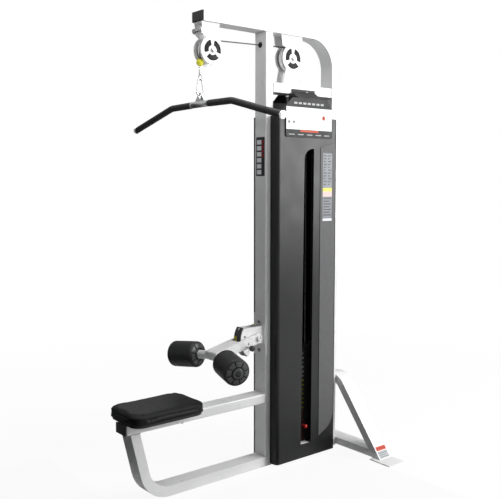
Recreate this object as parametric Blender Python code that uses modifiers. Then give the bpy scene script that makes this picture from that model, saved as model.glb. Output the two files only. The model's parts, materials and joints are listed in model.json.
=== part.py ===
"""Lat pulldown machine with a selector weight stack, built as separate named pieces.

Axes: +X to the machine's right (the side with the selector slot), +Y to the rear, +Z up.
The origin is on the floor, on the mid-plane, below the front face of the main upright.
Units are metres.
"""

import math

import bmesh
import bpy
from mathutils import Matrix, Vector

# ---------------------------------------------------------------- driving dimensions
GAP = 0.0003                 # clearance between neighbouring solids
TUBE_WIDTH = 0.090           # frame tube, across the machine
TUBE_DEPTH = 0.050           # frame tube, in the side view
WALL = 0.003                 # tube wall
HALF_WIDTH = TUBE_WIDTH / 2
HEIGHT = 2.340               # top of the boom
BOOM_FRONT = -0.388          # open front end of the boom
REAR_FACE = 0.530            # rear face of the rear post
CROSSBAR_TOP = 2.036
BASE_HEIGHT = 0.050
SEAT_BEAM_TOP = 0.397
SEAT_BEAM_FRONT = -0.838

CABLE_RADIUS = 0.003
FRONT_AXLE = (-0.327, 2.158)  # (Y, Z) of the front pulley's axle
FRONT_GROOVE = 0.054          # radius to the cable's centre line
REAR_AXLE = (0.200, 2.172)
REAR_GROOVE = 0.060
FRONT_DROP_Y = FRONT_AXLE[0] - FRONT_GROOVE
REAR_DROP_Y = REAR_AXLE[0] + REAR_GROOVE

BALL_Z = 2.098
BALL_RADIUS = 0.018
BAR_Z = 1.898                # centre line of the lat bar
BAR_RADIUS = 0.0125
BAR_KNEE_X = 0.251
BAR_END_X = 0.606
BAR_END_Z = 1.804
GRIP_RADIUS = 0.0163
SLEEVE_HALF = 0.071

STACK_Y = REAR_DROP_Y        # the stack hangs under the rear pulley's cable
STACK_LENGTH = 0.340
STACK_WIDTH = 0.104
STACK_BOTTOM = 0.0875
PLATE_COUNT = 20
PLATE_PITCH = 0.0252
ROD_OFFSET = 0.067           # guide rods, either side of the stem
ROD_RADIUS = 0.0095
ROD_BORE = 0.0110
STEM_RADIUS = 0.0095
STEM_BORE = 0.0110
PIN_PLATE = 17               # the pin is in this plate, counted from the top
PIN_RADIUS = 0.0045
PIN_BORE = 0.0058

SHROUD_FACE = 0.102          # X of the cover's outer side face
SHROUD_FRONT = 0.030
SHROUD_REAR = 0.470
SHROUD_BOTTOM = 0.012
SHROUD_TOP = 1.862
SHROUD_WALL = 0.004
SHROUD_CORNER = 0.018

PIVOT = (-0.046, 0.702)      # (Y, Z) of the thigh arm's pivot
ARM_DROP = 13.0              # degrees below horizontal, towards the seat
ARM_LENGTH = 0.286
INDEX_RADIUS = 0.083         # index holes, from the pivot
INDEX_REST = -25.5           # degrees above the forward horizontal, the hole in use
INDEX_STEP = 18.5            # degrees between index holes
SECTOR_RADIUS = 0.108
SECTOR_SIDE = 0.0275         # middle of each index plate, from the mid-plane
ARM_SLOT = 0.066             # gap between the arm's two cheeks
ROLLER_APEX = (-0.291, 0.643)
ROLLER_SWEEP = math.radians(15.3)
ROLLER_DROP = math.radians(6.0)
ROLLER_START = 0.111         # distance from the apex along the roller's axis
ROLLER_END = 0.288
ROLLER_RADIUS = 0.0675
SHAFT_RADIUS = 0.016

SEAT_LENGTH = 0.408
SEAT_WIDTH = 0.272
SEAT_CENTRE_Y = -0.643
SEAT_TOP = 0.457

ARCH_FRONT = 0.536           # front face of the rear stabiliser
ARCH_THICKNESS = 0.045
ARCH_TOP = 0.420


# ---------------------------------------------------------------- scene and materials
def clear_scene():
    for old in list(bpy.data.objects):
        bpy.data.objects.remove(old, do_unlink=True)


def new_collection(name):
    collection = bpy.data.collections.new(name)
    bpy.context.scene.collection.children.link(collection)
    return collection


def material(name, colour, roughness, metallic=0.0):
    mat = bpy.data.materials.new(name)
    mat.use_nodes = True
    shader = mat.node_tree.nodes["Principled BSDF"]
    shader.inputs["Base Color"].default_value = (*colour, 1.0)
    shader.inputs["Roughness"].default_value = roughness
    shader.inputs["Metallic"].default_value = metallic
    mat.diffuse_color = (*colour, 1.0)
    return mat


clear_scene()
PARTS = new_collection("lat_pulldown_machine")
CUTTERS = new_collection("cutters")

WHITE_PAINT = material("white_paint", (0.86, 0.86, 0.86), 0.32)
GREY_PAINT = material("grey_paint", (0.09, 0.09, 0.09), 0.45)
SHROUD_PLASTIC = material("shroud_plastic", (0.06, 0.063, 0.063), 0.42)
ACCENT_PLASTIC = material("accent_plastic", (0.21, 0.21, 0.21), 0.42)
BLACK_PLASTIC = material("black_plastic", (0.012, 0.012, 0.012), 0.45)
RUBBER = material("rubber", (0.015, 0.015, 0.015), 0.75)
UPHOLSTERY = material("upholstery", (0.022, 0.023, 0.023), 0.55)
CHROME = material("chrome", (0.75, 0.75, 0.75), 0.12, 1.0)
STEEL = material("steel", (0.50, 0.50, 0.50), 0.35, 1.0)
CABLE_COAT = material("cable_coat", (0.02, 0.02, 0.02), 0.35)
YELLOW_PLASTIC = material("yellow_plastic", (0.85, 0.75, 0.04), 0.40)
RED_PLASTIC = material("red_plastic", (0.62, 0.03, 0.03), 0.35)
CAST_IRON = material("cast_iron", (0.03, 0.03, 0.03), 0.55, 0.6)
SIGN_FACE = material("sign_face", (0.16, 0.16, 0.16), 0.45)

# Local axes of a flat outline drawn as (x, y), as columns of a rotation.
SIDE_VIEW = Matrix(((0, 0, 1), (1, 0, 0), (0, 1, 0)))    # x is Y, y is Z, thickness in X
FRONT_VIEW = Matrix(((1, 0, 0), (0, 0, -1), (0, 1, 0)))  # x is X, y is Z, thickness in Y
PLAN_VIEW = Matrix.Identity(3)                           # x is X, y is Y, thickness in Z


# ---------------------------------------------------------------- object helpers
def add_mesh(name, mesh, mat, matrix=None):
    obj = bpy.data.objects.new(name, mesh)
    if matrix is not None:
        obj.matrix_world = matrix
    mesh.materials.clear()
    mesh.materials.append(mat)
    PARTS.objects.link(obj)
    return obj


def from_bmesh(name, bm, mat, matrix=None):
    mesh = bpy.data.meshes.new(name)
    bm.to_mesh(mesh)
    bm.free()
    return add_mesh(name, mesh, mat, matrix)


def box(name, low, high, mat):
    size = Vector(high) - Vector(low)
    centre = (Vector(high) + Vector(low)) / 2
    bm = bmesh.new()
    bmesh.ops.create_cube(bm, size=1.0, matrix=Matrix.Diagonal((*size, 1.0)))
    return from_bmesh(name, bm, mat, Matrix.Translation(centre))


def along(axis):
    return Vector((0, 0, 1)).rotation_difference(Vector(axis)).to_matrix().to_4x4()


def cylinder(name, radius, start, end, mat, sides=24):
    start = Vector(start)
    end = Vector(end)
    bm = bmesh.new()
    bmesh.ops.create_cone(
        bm, cap_ends=True, segments=sides, radius1=radius, radius2=radius, depth=(end - start).length
    )
    return from_bmesh(name, bm, mat, Matrix.Translation((start + end) / 2) @ along(end - start))


def turned(name, profile, origin, axis, mat, steps=32, ring=False):
    """Revolve (radius, height) points, listed from the top down, about an axis through origin."""
    count = len(profile)
    edges = [(i, i + 1) for i in range(count - 1)]
    if ring:
        edges.append((count - 1, 0))
    mesh = bpy.data.meshes.new(name)
    mesh.from_pydata([(radius, 0.0, height) for radius, height in profile], edges, [])
    obj = add_mesh(name, mesh, mat, Matrix.Translation(origin) @ along(axis))
    screw = obj.modifiers.new("turn", "SCREW")
    screw.steps = steps
    screw.render_steps = steps
    screw.use_merge_vertices = True
    screw.merge_threshold = 0.00005
    screw.use_smooth_shade = False
    return obj


def curve_to_mesh(name, curve_obj, mat):
    """Replace a curve object by a welded mesh object in the same place."""
    bpy.context.view_layer.update()
    depsgraph = bpy.context.evaluated_depsgraph_get()
    mesh = bpy.data.meshes.new_from_object(curve_obj.evaluated_get(depsgraph))
    matrix = curve_obj.matrix_world.copy()
    bpy.data.objects.remove(curve_obj)
    bm = bmesh.new()
    bm.from_mesh(mesh)
    bmesh.ops.remove_doubles(bm, verts=bm.verts, dist=0.00001)
    bm.to_mesh(mesh)
    bm.free()
    mesh.name = name
    return add_mesh(name, mesh, mat, matrix)


def add_curve(name, outlines, dimensions, cyclic):
    data = bpy.data.curves.new(name, "CURVE")
    data.dimensions = dimensions
    for outline in outlines:
        spline = data.splines.new("POLY")
        spline.points.add(len(outline) - 1)
        for point, place in zip(spline.points, outline):
            place = tuple(place)
            point.co = (*place, 0.0, 1.0) if len(place) == 2 else (*place, 1.0)
        spline.use_cyclic_u = cyclic
    obj = bpy.data.objects.new(name, data)
    PARTS.objects.link(obj)
    return obj


def plate(name, outlines, view, middle, thickness, mat):
    """A flat outline, with any holes as further outlines, made solid about its middle plane."""
    obj = add_curve(name + "_outline", outlines, "2D", True)
    obj.data.fill_mode = "BOTH"
    obj.data.extrude = thickness / 2
    offset = view @ Vector((0, 0, middle))
    obj.matrix_world = Matrix.Translation(offset) @ view.to_4x4()
    return curve_to_mesh(name, obj, mat)


def wire(name, points, radius, mat, resolution=2, upright=False):
    obj = add_curve(name + "_path", [points], "3D", False)
    if upright:
        obj.data.twist_mode = "Z_UP"
    obj.data.bevel_depth = radius
    obj.data.bevel_resolution = resolution
    obj.data.use_fill_caps = True
    return curve_to_mesh(name, obj, mat)


def hide_tool(tool):
    PARTS.objects.unlink(tool)
    CUTTERS.objects.link(tool)
    tool.hide_render = True
    tool.display_type = "WIRE"


def combine(obj, tool, operation):
    hide_tool(tool)
    boolean = obj.modifiers.new(operation.lower(), "BOOLEAN")
    boolean.operation = operation
    boolean.object = tool
    return obj


def cut(obj, tool):
    return combine(obj, tool, "DIFFERENCE")


def join(obj, tool):
    return combine(obj, tool, "UNION")


def round_edges(obj, width, segments=2, angle=50):
    bevel = obj.modifiers.new("round", "BEVEL")
    bevel.width = width
    bevel.segments = segments
    bevel.limit_method = "ANGLE"
    bevel.angle_limit = math.radians(angle)
    return obj


def mirrored(name, source, mat):
    """The same solid on the other side of the mid-plane, with its modifiers applied."""
    bpy.context.view_layer.update()
    depsgraph = bpy.context.evaluated_depsgraph_get()
    mesh = bpy.data.meshes.new_from_object(source.evaluated_get(depsgraph))
    mesh.transform(Matrix.Diagonal((-1, 1, 1, 1)) @ source.matrix_world)
    mesh.flip_normals()
    return add_mesh(name, mesh, mat)


# ---------------------------------------------------------------- outline helpers
def arc(centre, radius, start, end, steps):
    """Points on an arc; angles in degrees, anticlockwise from the outline's x axis."""
    points = []
    for i in range(steps + 1):
        angle = math.radians(start + (end - start) * i / steps)
        points.append((centre[0] + radius * math.cos(angle), centre[1] + radius * math.sin(angle)))
    return points


def circle(centre, radius, sides=16):
    return arc(centre, radius, 0, 360 - 360 / sides, sides - 1)


def rounded(corners, radius, steps=4, closed=True):
    """Replace each corner of a polygon, or each inner corner of a path, by an arc."""
    count = len(corners)
    points = []
    for i in range(count):
        here = Vector(corners[i])
        size = radius[i] if isinstance(radius, (list, tuple)) else radius
        if size == 0 or (not closed and i in (0, count - 1)):
            points.append(tuple(here))
            continue
        back = (Vector(corners[i - 1]) - here).normalized()
        ahead = (Vector(corners[(i + 1) % count]) - here).normalized()
        half = back.angle(ahead) / 2
        centre = here + (back + ahead).normalized() * size / math.sin(half)
        first = here + back * size / math.tan(half) - centre
        last = here + ahead * size / math.tan(half) - centre
        turn = first.angle_signed(last)
        for step in range(steps + 1):
            angle = -turn * step / steps
            spoke = Matrix.Rotation(angle, 2) @ first
            points.append(tuple(centre + spoke))
    return points


def offset_path(path, distance):
    """Shift an open path sideways, to its left for a positive distance."""
    shifted = []
    for i, place in enumerate(path):
        before = Vector(path[max(i - 1, 0)])
        after = Vector(path[min(i + 1, len(path) - 1)])
        here = Vector(place)
        directions = [d.normalized() for d in (here - before, after - here) if d.length > 0]
        normals = [Vector((-d.y, d.x)) for d in directions]
        middle = sum(normals, Vector((0, 0))).normalized()
        shifted.append(tuple(here + middle * distance / middle.dot(normals[0])))
    return shifted


def level_ends(path, height):
    """Slide both ends of a path along their own directions to a given height."""
    moved = list(path)
    for end, neighbour in ((0, 1), (-1, -2)):
        (x, y), (near_x, near_y) = path[end], path[neighbour]
        share = (height - near_y) / (y - near_y)
        moved[end] = (near_x + (x - near_x) * share, height)
    return moved


def ribbon(path, thickness, end_height=None):
    sides = [offset_path(path, thickness / 2), offset_path(path, -thickness / 2)]
    if end_height is not None:
        sides = [level_ends(side, end_height) for side in sides]
    return sides[0] + list(reversed(sides[1]))


def extended(path, length):
    """The same path, made longer at both ends."""
    first = Vector(path[0])
    last = Vector(path[-1])
    head = first + (first - Vector(path[1])).normalized() * length
    tail = last + (last - Vector(path[-2])).normalized() * length
    return [tuple(head)] + list(path) + [tuple(tail)]


# ---------------------------------------------------------------- frame
def frame_tube(name, path, view, middle=0.0, depth=TUBE_DEPTH, width=TUBE_WIDTH, mat=WHITE_PAINT):
    """A rectangular tube along a path, open at both ends."""
    tube = plate(name, [ribbon(path, depth)], view, middle, width, mat)
    round_edges(tube, 0.005)
    hollow = ribbon(extended(path, 0.02), depth - 2 * WALL)
    return cut(tube, plate(name + "_hollow", [hollow], view, middle, width - 2 * WALL, mat))


def make_frame():
    half = TUBE_DEPTH / 2
    boom_z = HEIGHT - half
    post_y = REAR_FACE - half
    foot = BASE_HEIGHT + GAP
    roof_path = rounded(
        [(BOOM_FRONT, boom_z), (post_y, boom_z), (post_y, foot)], 0.175, steps=12, closed=False
    )
    frame_tube("roof_tube", roof_path, SIDE_VIEW)

    under_boom = HEIGHT - TUBE_DEPTH - GAP
    upright = frame_tube("main_upright", [(half, foot), (half, under_boom)], SIDE_VIEW)
    hole_z = cable_height(0.0)
    hole = cylinder("upright_cable_hole", 0.0122, (0, -0.02, hole_z), (0, 0.07, hole_z), STEEL, 16)
    cut(upright, hole)

    crossbar_z = CROSSBAR_TOP - half
    crossbar_path = [(TUBE_DEPTH + GAP, crossbar_z), (REAR_FACE - TUBE_DEPTH - GAP, crossbar_z)]
    crossbar = frame_tube("crossbar", crossbar_path, SIDE_VIEW)
    drop = cylinder(
        "crossbar_cable_hole", 0.012, (0, REAR_DROP_Y, 1.9), (0, REAR_DROP_Y, 2.1), STEEL, 16
    )
    cut(crossbar, drop)

    leg_top = (-0.7970, SEAT_BEAM_TOP - TUBE_DEPTH + 0.02)
    leg_bend = (-0.7145, BASE_HEIGHT / 2)
    base_path = rounded([leg_top, leg_bend, (ARCH_FRONT - GAP, BASE_HEIGHT / 2)], 0.140, 10, False)
    base = frame_tube("base_beam", base_path, SIDE_VIEW)
    under_seat = SEAT_BEAM_TOP - TUBE_DEPTH - GAP
    cut(base, box("leg_trim", (-0.1, -0.9, under_seat), (0.1, -0.7, under_seat + 0.06), STEEL))

    seat_z = SEAT_BEAM_TOP - half
    frame_tube("seat_beam", [(SEAT_BEAM_FRONT, seat_z), (-GAP, seat_z)], SIDE_VIEW)


def make_end_caps():
    inner = HALF_WIDTH - WALL - 0.0006
    for name, front, top in (
        ("boom_end_cap", BOOM_FRONT, HEIGHT),
        ("seat_beam_end_cap", SEAT_BEAM_FRONT, SEAT_BEAM_TOP),
    ):
        low = top - TUBE_DEPTH
        face = front - GAP
        cap = box(name, (-HALF_WIDTH, face - 0.008, low), (HALF_WIDTH, face, top), BLACK_PLASTIC)
        round_edges(cap, 0.003)
        plug_low = (-inner, face - 0.004, low + WALL + 0.0006)
        plug_high = (inner, face + 0.022, top - WALL - 0.0006)
        join(cap, box(name + "_plug", plug_low, plug_high, BLACK_PLASTIC))


def make_rear_stabiliser():
    half = ARCH_THICKNESS / 2
    lean = 0.776                      # sideways run of the legs per metre of height
    leg_outer_x = 0.3885              # outer face of the leg at the floor
    tilt = math.atan(lean)
    corner_x = leg_outer_x - lean * ARCH_TOP - half * math.tan((math.pi / 2 - tilt) / 2)
    side = half / math.cos(tilt)
    foot_x = leg_outer_x - side
    middle = ARCH_FRONT + TUBE_WIDTH / 2
    corner_z = ARCH_TOP - half
    corners = [(-foot_x, 0.0), (-corner_x, corner_z), (corner_x, corner_z), (foot_x, 0.0)]
    path = rounded(corners, 0.100, steps=7, closed=False)
    outer = ribbon(path, ARCH_THICKNESS, 0.0035)
    arch = plate("rear_arch", [outer], FRONT_VIEW, -middle, TUBE_WIDTH, WHITE_PAINT)
    round_edges(arch, 0.005)
    inner = ribbon(path, ARCH_THICKNESS - 2 * WALL, -0.02)
    inner_width = TUBE_WIDTH - 2 * WALL
    cut(arch, plate("arch_hollow", [inner], FRONT_VIEW, -middle, inner_width, WHITE_PAINT))
    for side_sign, label in ((1, "right"), (-1, "left")):
        xs = sorted((side_sign * 0.335, side_sign * 0.473))
        join(arch, box("foot_plate_" + label, (xs[0], 0.506, 0.0), (xs[1], 0.628, 0.006), STEEL))

    width = 2 * side
    top_x = leg_outer_x - lean * ARCH_THICKNESS - width - GAP
    low_x = leg_outer_x - lean * 0.0063 - width - GAP
    outline = [(-low_x, 0.0063), (low_x, 0.0063), (top_x, ARCH_THICKNESS), (-top_x, ARCH_THICKNESS)]
    tube = plate("rear_base_tube", [outline], FRONT_VIEW, -middle, TUBE_WIDTH, WHITE_PAINT)
    hollow_low = (-0.5, ARCH_FRONT + WALL, 0.0063 + WALL)
    hollow_high = (0.5, ARCH_FRONT + TUBE_WIDTH - WALL, ARCH_THICKNESS - WALL)
    cut(tube, box("base_tube_hollow", hollow_low, hollow_high, STEEL))


# ---------------------------------------------------------------- cable and pulleys
def cable_tangent():
    """Angle of the spokes that meet the straight upper run of the cable, in degrees."""
    run = Vector((REAR_AXLE[0] - FRONT_AXLE[0], REAR_AXLE[1] - FRONT_AXLE[1]))
    slope = math.atan2(run.y, run.x)
    return math.degrees(slope + math.acos((FRONT_GROOVE - REAR_GROOVE) / run.length))


def cable_height(y):
    """Height of the straight upper run at a place along the machine."""
    angle = math.radians(cable_tangent())
    start = Vector(FRONT_AXLE) + FRONT_GROOVE * Vector((math.cos(angle), math.sin(angle)))
    return start.y - (y - start.x) / math.tan(angle)


def make_cable():
    tangent = cable_tangent()
    points = arc(FRONT_AXLE, FRONT_GROOVE, 180, tangent, 8)
    points += arc(REAR_AXLE, REAR_GROOVE, tangent, 0, 8)
    wire("cable_run_top", [(0, y, z) for y, z in points], CABLE_RADIUS, CABLE_COAT, 1)

    ball_top = BALL_Z + BALL_RADIUS + GAP
    front_ends = [(0, FRONT_DROP_Y, FRONT_AXLE[1] - GAP), (0, FRONT_DROP_Y, ball_top)]
    wire("front_cable_drop", front_ends, CABLE_RADIUS, CABLE_COAT, 1)
    rear_ends = [(0, REAR_DROP_Y, REAR_AXLE[1] - GAP), (0, REAR_DROP_Y, stem_top() + GAP)]
    wire("rear_cable_drop", rear_ends, CABLE_RADIUS, CABLE_COAT, 1)

    hole_z = cable_height(0.0)
    sleeve = 0.0115
    flange = 0.0145
    bore = 0.0062
    profile = [
        (bore, 0.0035), (flange - 0.001, 0.0035), (flange, 0.0025), (flange, GAP),
        (sleeve, GAP), (sleeve, -0.006), (bore, -0.006),
    ]
    turned("cable_grommet", profile, (0, 0, hole_z), (0, -1, 0), RUBBER, 20, ring=True)


def make_pulley(name, centre, groove, flange):
    half = 0.011
    bed = groove - CABLE_RADIUS - 0.0005
    web = 0.004
    hub = 0.016
    bore = 0.0066
    rim = bed - 0.008
    profile = [
        (bore, 0.014), (hub, 0.014), (hub + 0.002, web), (rim, web), (rim, half), (flange, half),
        (flange, half - 0.002), (bed, 0.003), (bed, -0.003), (flange, -half + 0.002),
        (flange, -half), (rim, -half), (rim, -web), (hub + 0.002, -web), (hub, -0.014),
        (bore, -0.014),
    ]
    turned(name, profile, (0, *centre), (1, 0, 0), BLACK_PLASTIC, 32, ring=True)


def kidney(centre, inner, outer, start, end):
    return arc(centre, outer, start, end, 8) + arc(centre, inner, end, start, 5)


def disc_windows(centre, outer):
    """Three windows between three spokes, one spoke straight up."""
    inner = outer * 0.47
    windows = []
    for middle in (30, 150, 270):
        windows.append(kidney(centre, inner, outer, middle - 47, middle + 47))
    return windows


def side_plate_outline(centre, radius, upper, lower):
    """A disc joined to a straight-sided plate above it, and to one below it if given."""
    (top_front, top_rear), top_z, neck_z = upper
    neck_y = 0.044
    angle = math.degrees(math.atan2(neck_z - centre[1], neck_y))
    start = math.degrees(math.asin((neck_z - centre[1]) / radius))
    points = [(top_rear, top_z), (top_front, top_z), (top_front + 0.008, neck_z + 0.012)]
    if lower is None:
        return points + arc(centre, radius, 180 - start, 360 + start, 20) + [
            (top_rear - 0.012, neck_z + 0.012)
        ]
    (low_front, low_rear), low_z = lower
    points += arc(centre, radius, 180 - angle, 228, 8)
    points += [(low_front, low_z), (low_rear, low_z)]
    points += arc(centre, radius, 298, 360 + 32, 8)
    return points


def make_bracket(name, centre, outline, window_radius):
    top = HEIGHT - TUBE_DEPTH - GAP
    thickness = 0.004
    offset = 0.0295
    holes = disc_windows(centre, window_radius) + [circle(centre, 0.0064, 12)]
    right = plate(name, [outline] + holes, SIDE_VIEW, offset, thickness, WHITE_PAINT)
    left = plate(name + "_left", [outline] + holes, SIDE_VIEW, -offset, thickness, WHITE_PAINT)
    front = min(y for y, z in outline if z > top - 0.001) + 0.002
    rear = max(y for y, z in outline if z > top - 0.001) - 0.002
    web = box(name + "_web", (-offset, front, top - 0.006), (offset, rear, top - 0.001), WHITE_PAINT)
    join(right, web)
    join(right, left)


def make_axle_bolt(name, centre):
    shaft = 0.0060
    head = 0.0110
    inside = 0.0315 + GAP
    outside = inside + 0.007
    profile = [
        (0, outside), (head - 0.003, outside), (head, outside - 0.003), (head, inside),
        (shaft, inside), (shaft, -inside), (head, -inside), (head, -outside + 0.003),
        (head - 0.003, -outside), (0, -outside),
    ]
    turned(name, profile, (0, *centre), (1, 0, 0), STEEL, 20)


def make_pulleys():
    top = HEIGHT - TUBE_DEPTH - GAP
    make_pulley("front_pulley", FRONT_AXLE, FRONT_GROOVE, 0.0615)
    make_pulley("rear_pulley", REAR_AXLE, REAR_GROOVE, 0.0675)
    front_outline = side_plate_outline(FRONT_AXLE, 0.070, ((-0.392, -0.284), top, 2.216), None)
    make_bracket("front_pulley_bracket", FRONT_AXLE, front_outline, 0.050)
    low_z = CROSSBAR_TOP + GAP
    rear_outline = side_plate_outline(
        REAR_AXLE, 0.073, ((0.118, 0.266), top, 2.222), ((0.133, 0.232), low_z)
    )
    make_bracket("rear_pulley_bracket", REAR_AXLE, rear_outline, 0.054)
    make_axle_bolt("front_axle_bolt", FRONT_AXLE)
    make_axle_bolt("rear_axle_bolt", REAR_AXLE)


# ---------------------------------------------------------------- lat bar and its fittings
def make_stop_and_eye():
    steps = 10
    ball = []
    for i in range(steps + 1):
        angle = math.pi * i / steps
        radius = max(BALL_RADIUS * math.sin(angle), 0.0)
        ball.append((radius if 0 < i < steps else 0.0, BALL_RADIUS * math.cos(angle)))
    turned("cable_stop_ball", ball, (0, FRONT_DROP_Y, BALL_Z), (0, 0, 1), YELLOW_PLASTIC, 24)

    top = BALL_Z - BALL_RADIUS - GAP
    loop_z = 2.0265
    socket = cylinder(
        "cable_eye", 0.0055, (0, FRONT_DROP_Y, loop_z + 0.012), (0, FRONT_DROP_Y, top), STEEL, 16
    )
    loop = circle((0, loop_z), 0.0125, 20)
    ring = add_curve("eye_loop_path", [[(x, FRONT_DROP_Y, z) for x, z in loop]], "3D", True)
    ring.data.bevel_depth = 0.0027
    ring.data.bevel_resolution = 1
    join(socket, curve_to_mesh("eye_loop", ring, STEEL))


def hook_point(y, z):
    return (0.0, FRONT_DROP_Y + y, z)


def make_snap_hook():
    wire_radius = 0.0040
    top = arc((0, 2.0085), 0.0125, 160, 0, 8)
    bottom = arc((0, 1.9600), 0.0200, 0, -170, 9)
    points = top + bottom
    wire("snap_hook", [hook_point(y, z) for y, z in points], wire_radius, CHROME, 2)
    gate_low = Vector(points[-1])
    gate_high = Vector(points[0])
    up = (gate_high - gate_low).normalized()
    ends = [hook_point(*(gate_low + up * 0.0030)), hook_point(*(gate_high - up * 0.0026))]
    wire("snap_gate", ends, 0.0034, CHROME, 2)


def bar_path(half_start, half_end):
    """Centre line of the lat bar between two places on its right-hand side, as (x, z)."""
    whole = rounded([(0, BAR_Z), (BAR_KNEE_X, BAR_Z - 0.003), (BAR_END_X, BAR_END_Z)], 0.12, 5, False)
    slope = (Vector(whole[-1]) - Vector(whole[-2])).normalized()
    inner = [p for p in whole if half_start < p[0] < half_end]
    start_z = BAR_Z - 0.003 * half_start / BAR_KNEE_X
    end_z = BAR_END_Z - slope.y / slope.x * (BAR_END_X - half_end)
    return [(half_start, start_z)] + inner + [(half_end, end_z)]


def make_lat_bar():
    y = FRONT_DROP_Y
    right = bar_path(0.0, BAR_END_X)
    left = [(-x, z) for x, z in reversed(right[1:])]
    bar = wire("lat_bar", [(x, y, z) for x, z in left + right], BAR_RADIUS, CHROME, 4, True)
    slope = (Vector(right[-1]) - Vector(right[-2])).normalized()
    for sign, label in ((1, "right"), (-1, "left")):
        out = Vector((sign * slope.x, 0, slope.y))
        end = Vector((sign * BAR_END_X, y, BAR_END_Z))
        join(bar, cylinder("bar_end_" + label, 0.0185, end - out * 0.004, end + out * 0.006, CHROME))
    low = (-SLEEVE_HALF, y, BAR_Z)
    high = (SLEEVE_HALF, y, BAR_Z)
    join(bar, cylinder("bar_sleeve", 0.0158, low, high, CHROME, 20))

    eye_z = 1.9343
    boss = 0.0185
    outline = [(-0.050, BAR_Z), (0.050, BAR_Z)] + arc((0, eye_z), boss, 20, 160, 8)
    hole = circle((0, eye_z), 0.0108, 16)
    join(bar, plate("bar_gusset", [outline, hole], FRONT_VIEW, -y, 0.006, CHROME))

    end_x = BAR_END_X - 0.005
    path = bar_path(SLEEVE_HALF + 0.0015, end_x)
    grip = wire("grip_right", [(x, y, z) for x, z in path], GRIP_RADIUS, RUBBER, 4, True)
    through = [(x, y, z) for x, z in extended(path, 0.02)]
    bore = wire("grip_bore", through, BAR_RADIUS + 2 * GAP, RUBBER, 4, True)
    cut(grip, bore)
    mirrored("grip_left", grip, RUBBER)


# ---------------------------------------------------------------- weight stack
def plate_bottom(number):
    """Underside of a weight plate, numbered from 1 at the top."""
    return STACK_BOTTOM + (PLATE_COUNT - number) * PLATE_PITCH


def plate_groups():
    """Plate numbers by node: single at the top and from the pin down, dowelled pairs between."""
    pairs = [(number, number + 1) for number in range(3, PIN_PLATE - 1, 2)]
    return [(1,), (2,)] + pairs + [(number,) for number in range(PIN_PLATE, PLATE_COUNT + 1)]


def group_name(numbers):
    stem = "weight_plate_" if len(numbers) == 1 else "weight_plates_"
    return stem + "_".join(f"{number:02d}" for number in numbers)


def head_bottom():
    return STACK_BOTTOM + PLATE_COUNT * PLATE_PITCH


def stem_top():
    return head_bottom() + PLATE_PITCH + 0.052


def stack_block(name, mat, count, with_pin_holes):
    """One or two weight plates about their centre, with bores for the stem and the guide rods."""
    half_length = STACK_LENGTH / 2
    half_width = STACK_WIDTH / 2
    corners = [
        (-half_width, -half_length), (half_width, -half_length),
        (half_width, half_length), (-half_width, half_length),
    ]
    outline = rounded(corners, 0.010, 3)
    holes = [circle((0, 0), STEM_BORE, 12)]
    holes += [circle((0, side * ROD_OFFSET), ROD_BORE, 12) for side in (-1, 1)]
    block = plate(name, [outline] + holes, PLAN_VIEW, 0.0, count * PLATE_PITCH - GAP, mat)
    if with_pin_holes:
        for k in range(count):
            z = (k - (count - 1) / 2) * PLATE_PITCH
            cut(block, cylinder(f"pin_hole_cutter_{k}", PIN_BORE, (0, 0, z), (0.08, 0, z), mat, 8))
    return block


def make_weight_plates():
    shared = {}
    for numbers in plate_groups():
        count = len(numbers)
        if count not in shared:
            sample = stack_block("plate_sample", CAST_IRON, count, True)
            bpy.context.view_layer.update()
            depsgraph = bpy.context.evaluated_depsgraph_get()
            shared[count] = bpy.data.meshes.new_from_object(sample.evaluated_get(depsgraph))
            bpy.data.objects.remove(sample)
        middle = plate_bottom(numbers[-1]) + (count * PLATE_PITCH - GAP) / 2
        place = Matrix.Translation((0, STACK_Y, middle))
        add_mesh(group_name(numbers), shared[count], CAST_IRON, place)
    head = stack_block("head_plate", CAST_IRON, 1, False)
    head.location = (0, STACK_Y, head_bottom() + (PLATE_PITCH - GAP) / 2)


def pin_height():
    return plate_bottom(PIN_PLATE) + (PLATE_PITCH - GAP) / 2


def make_selector():
    seat = head_bottom() + PLATE_PITCH
    bottom = STACK_BOTTOM + 0.006
    profile = [
        (0, stem_top()), (0.009, stem_top()), (0.009, seat + 0.014), (0.019, seat + 0.014),
        (0.019, seat), (STEM_RADIUS, seat), (STEM_RADIUS, bottom + 0.003),
        (STEM_RADIUS - 0.003, bottom), (0, bottom),
    ]
    stem = turned("selector_stem", profile, (0, STACK_Y, 0), (0, 0, 1), STEEL, 20)
    z = pin_height()
    cut(stem, cylinder("stem_pin_hole", PIN_BORE, (-0.03, STACK_Y, z), (0.03, STACK_Y, z), STEEL, 8))

    knob = 0.0135
    pin = [
        (0, 0.090), (knob - 0.004, 0.090), (knob, 0.086), (knob, 0.070), (knob - 0.004, 0.064),
        (knob - 0.004, 0.055), (PIN_RADIUS, 0.055), (PIN_RADIUS, -0.008), (0, -0.010),
    ]
    turned("selector_pin", pin, (0, STACK_Y, z), (1, 0, 0), RED_PLASTIC, 16)


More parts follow.
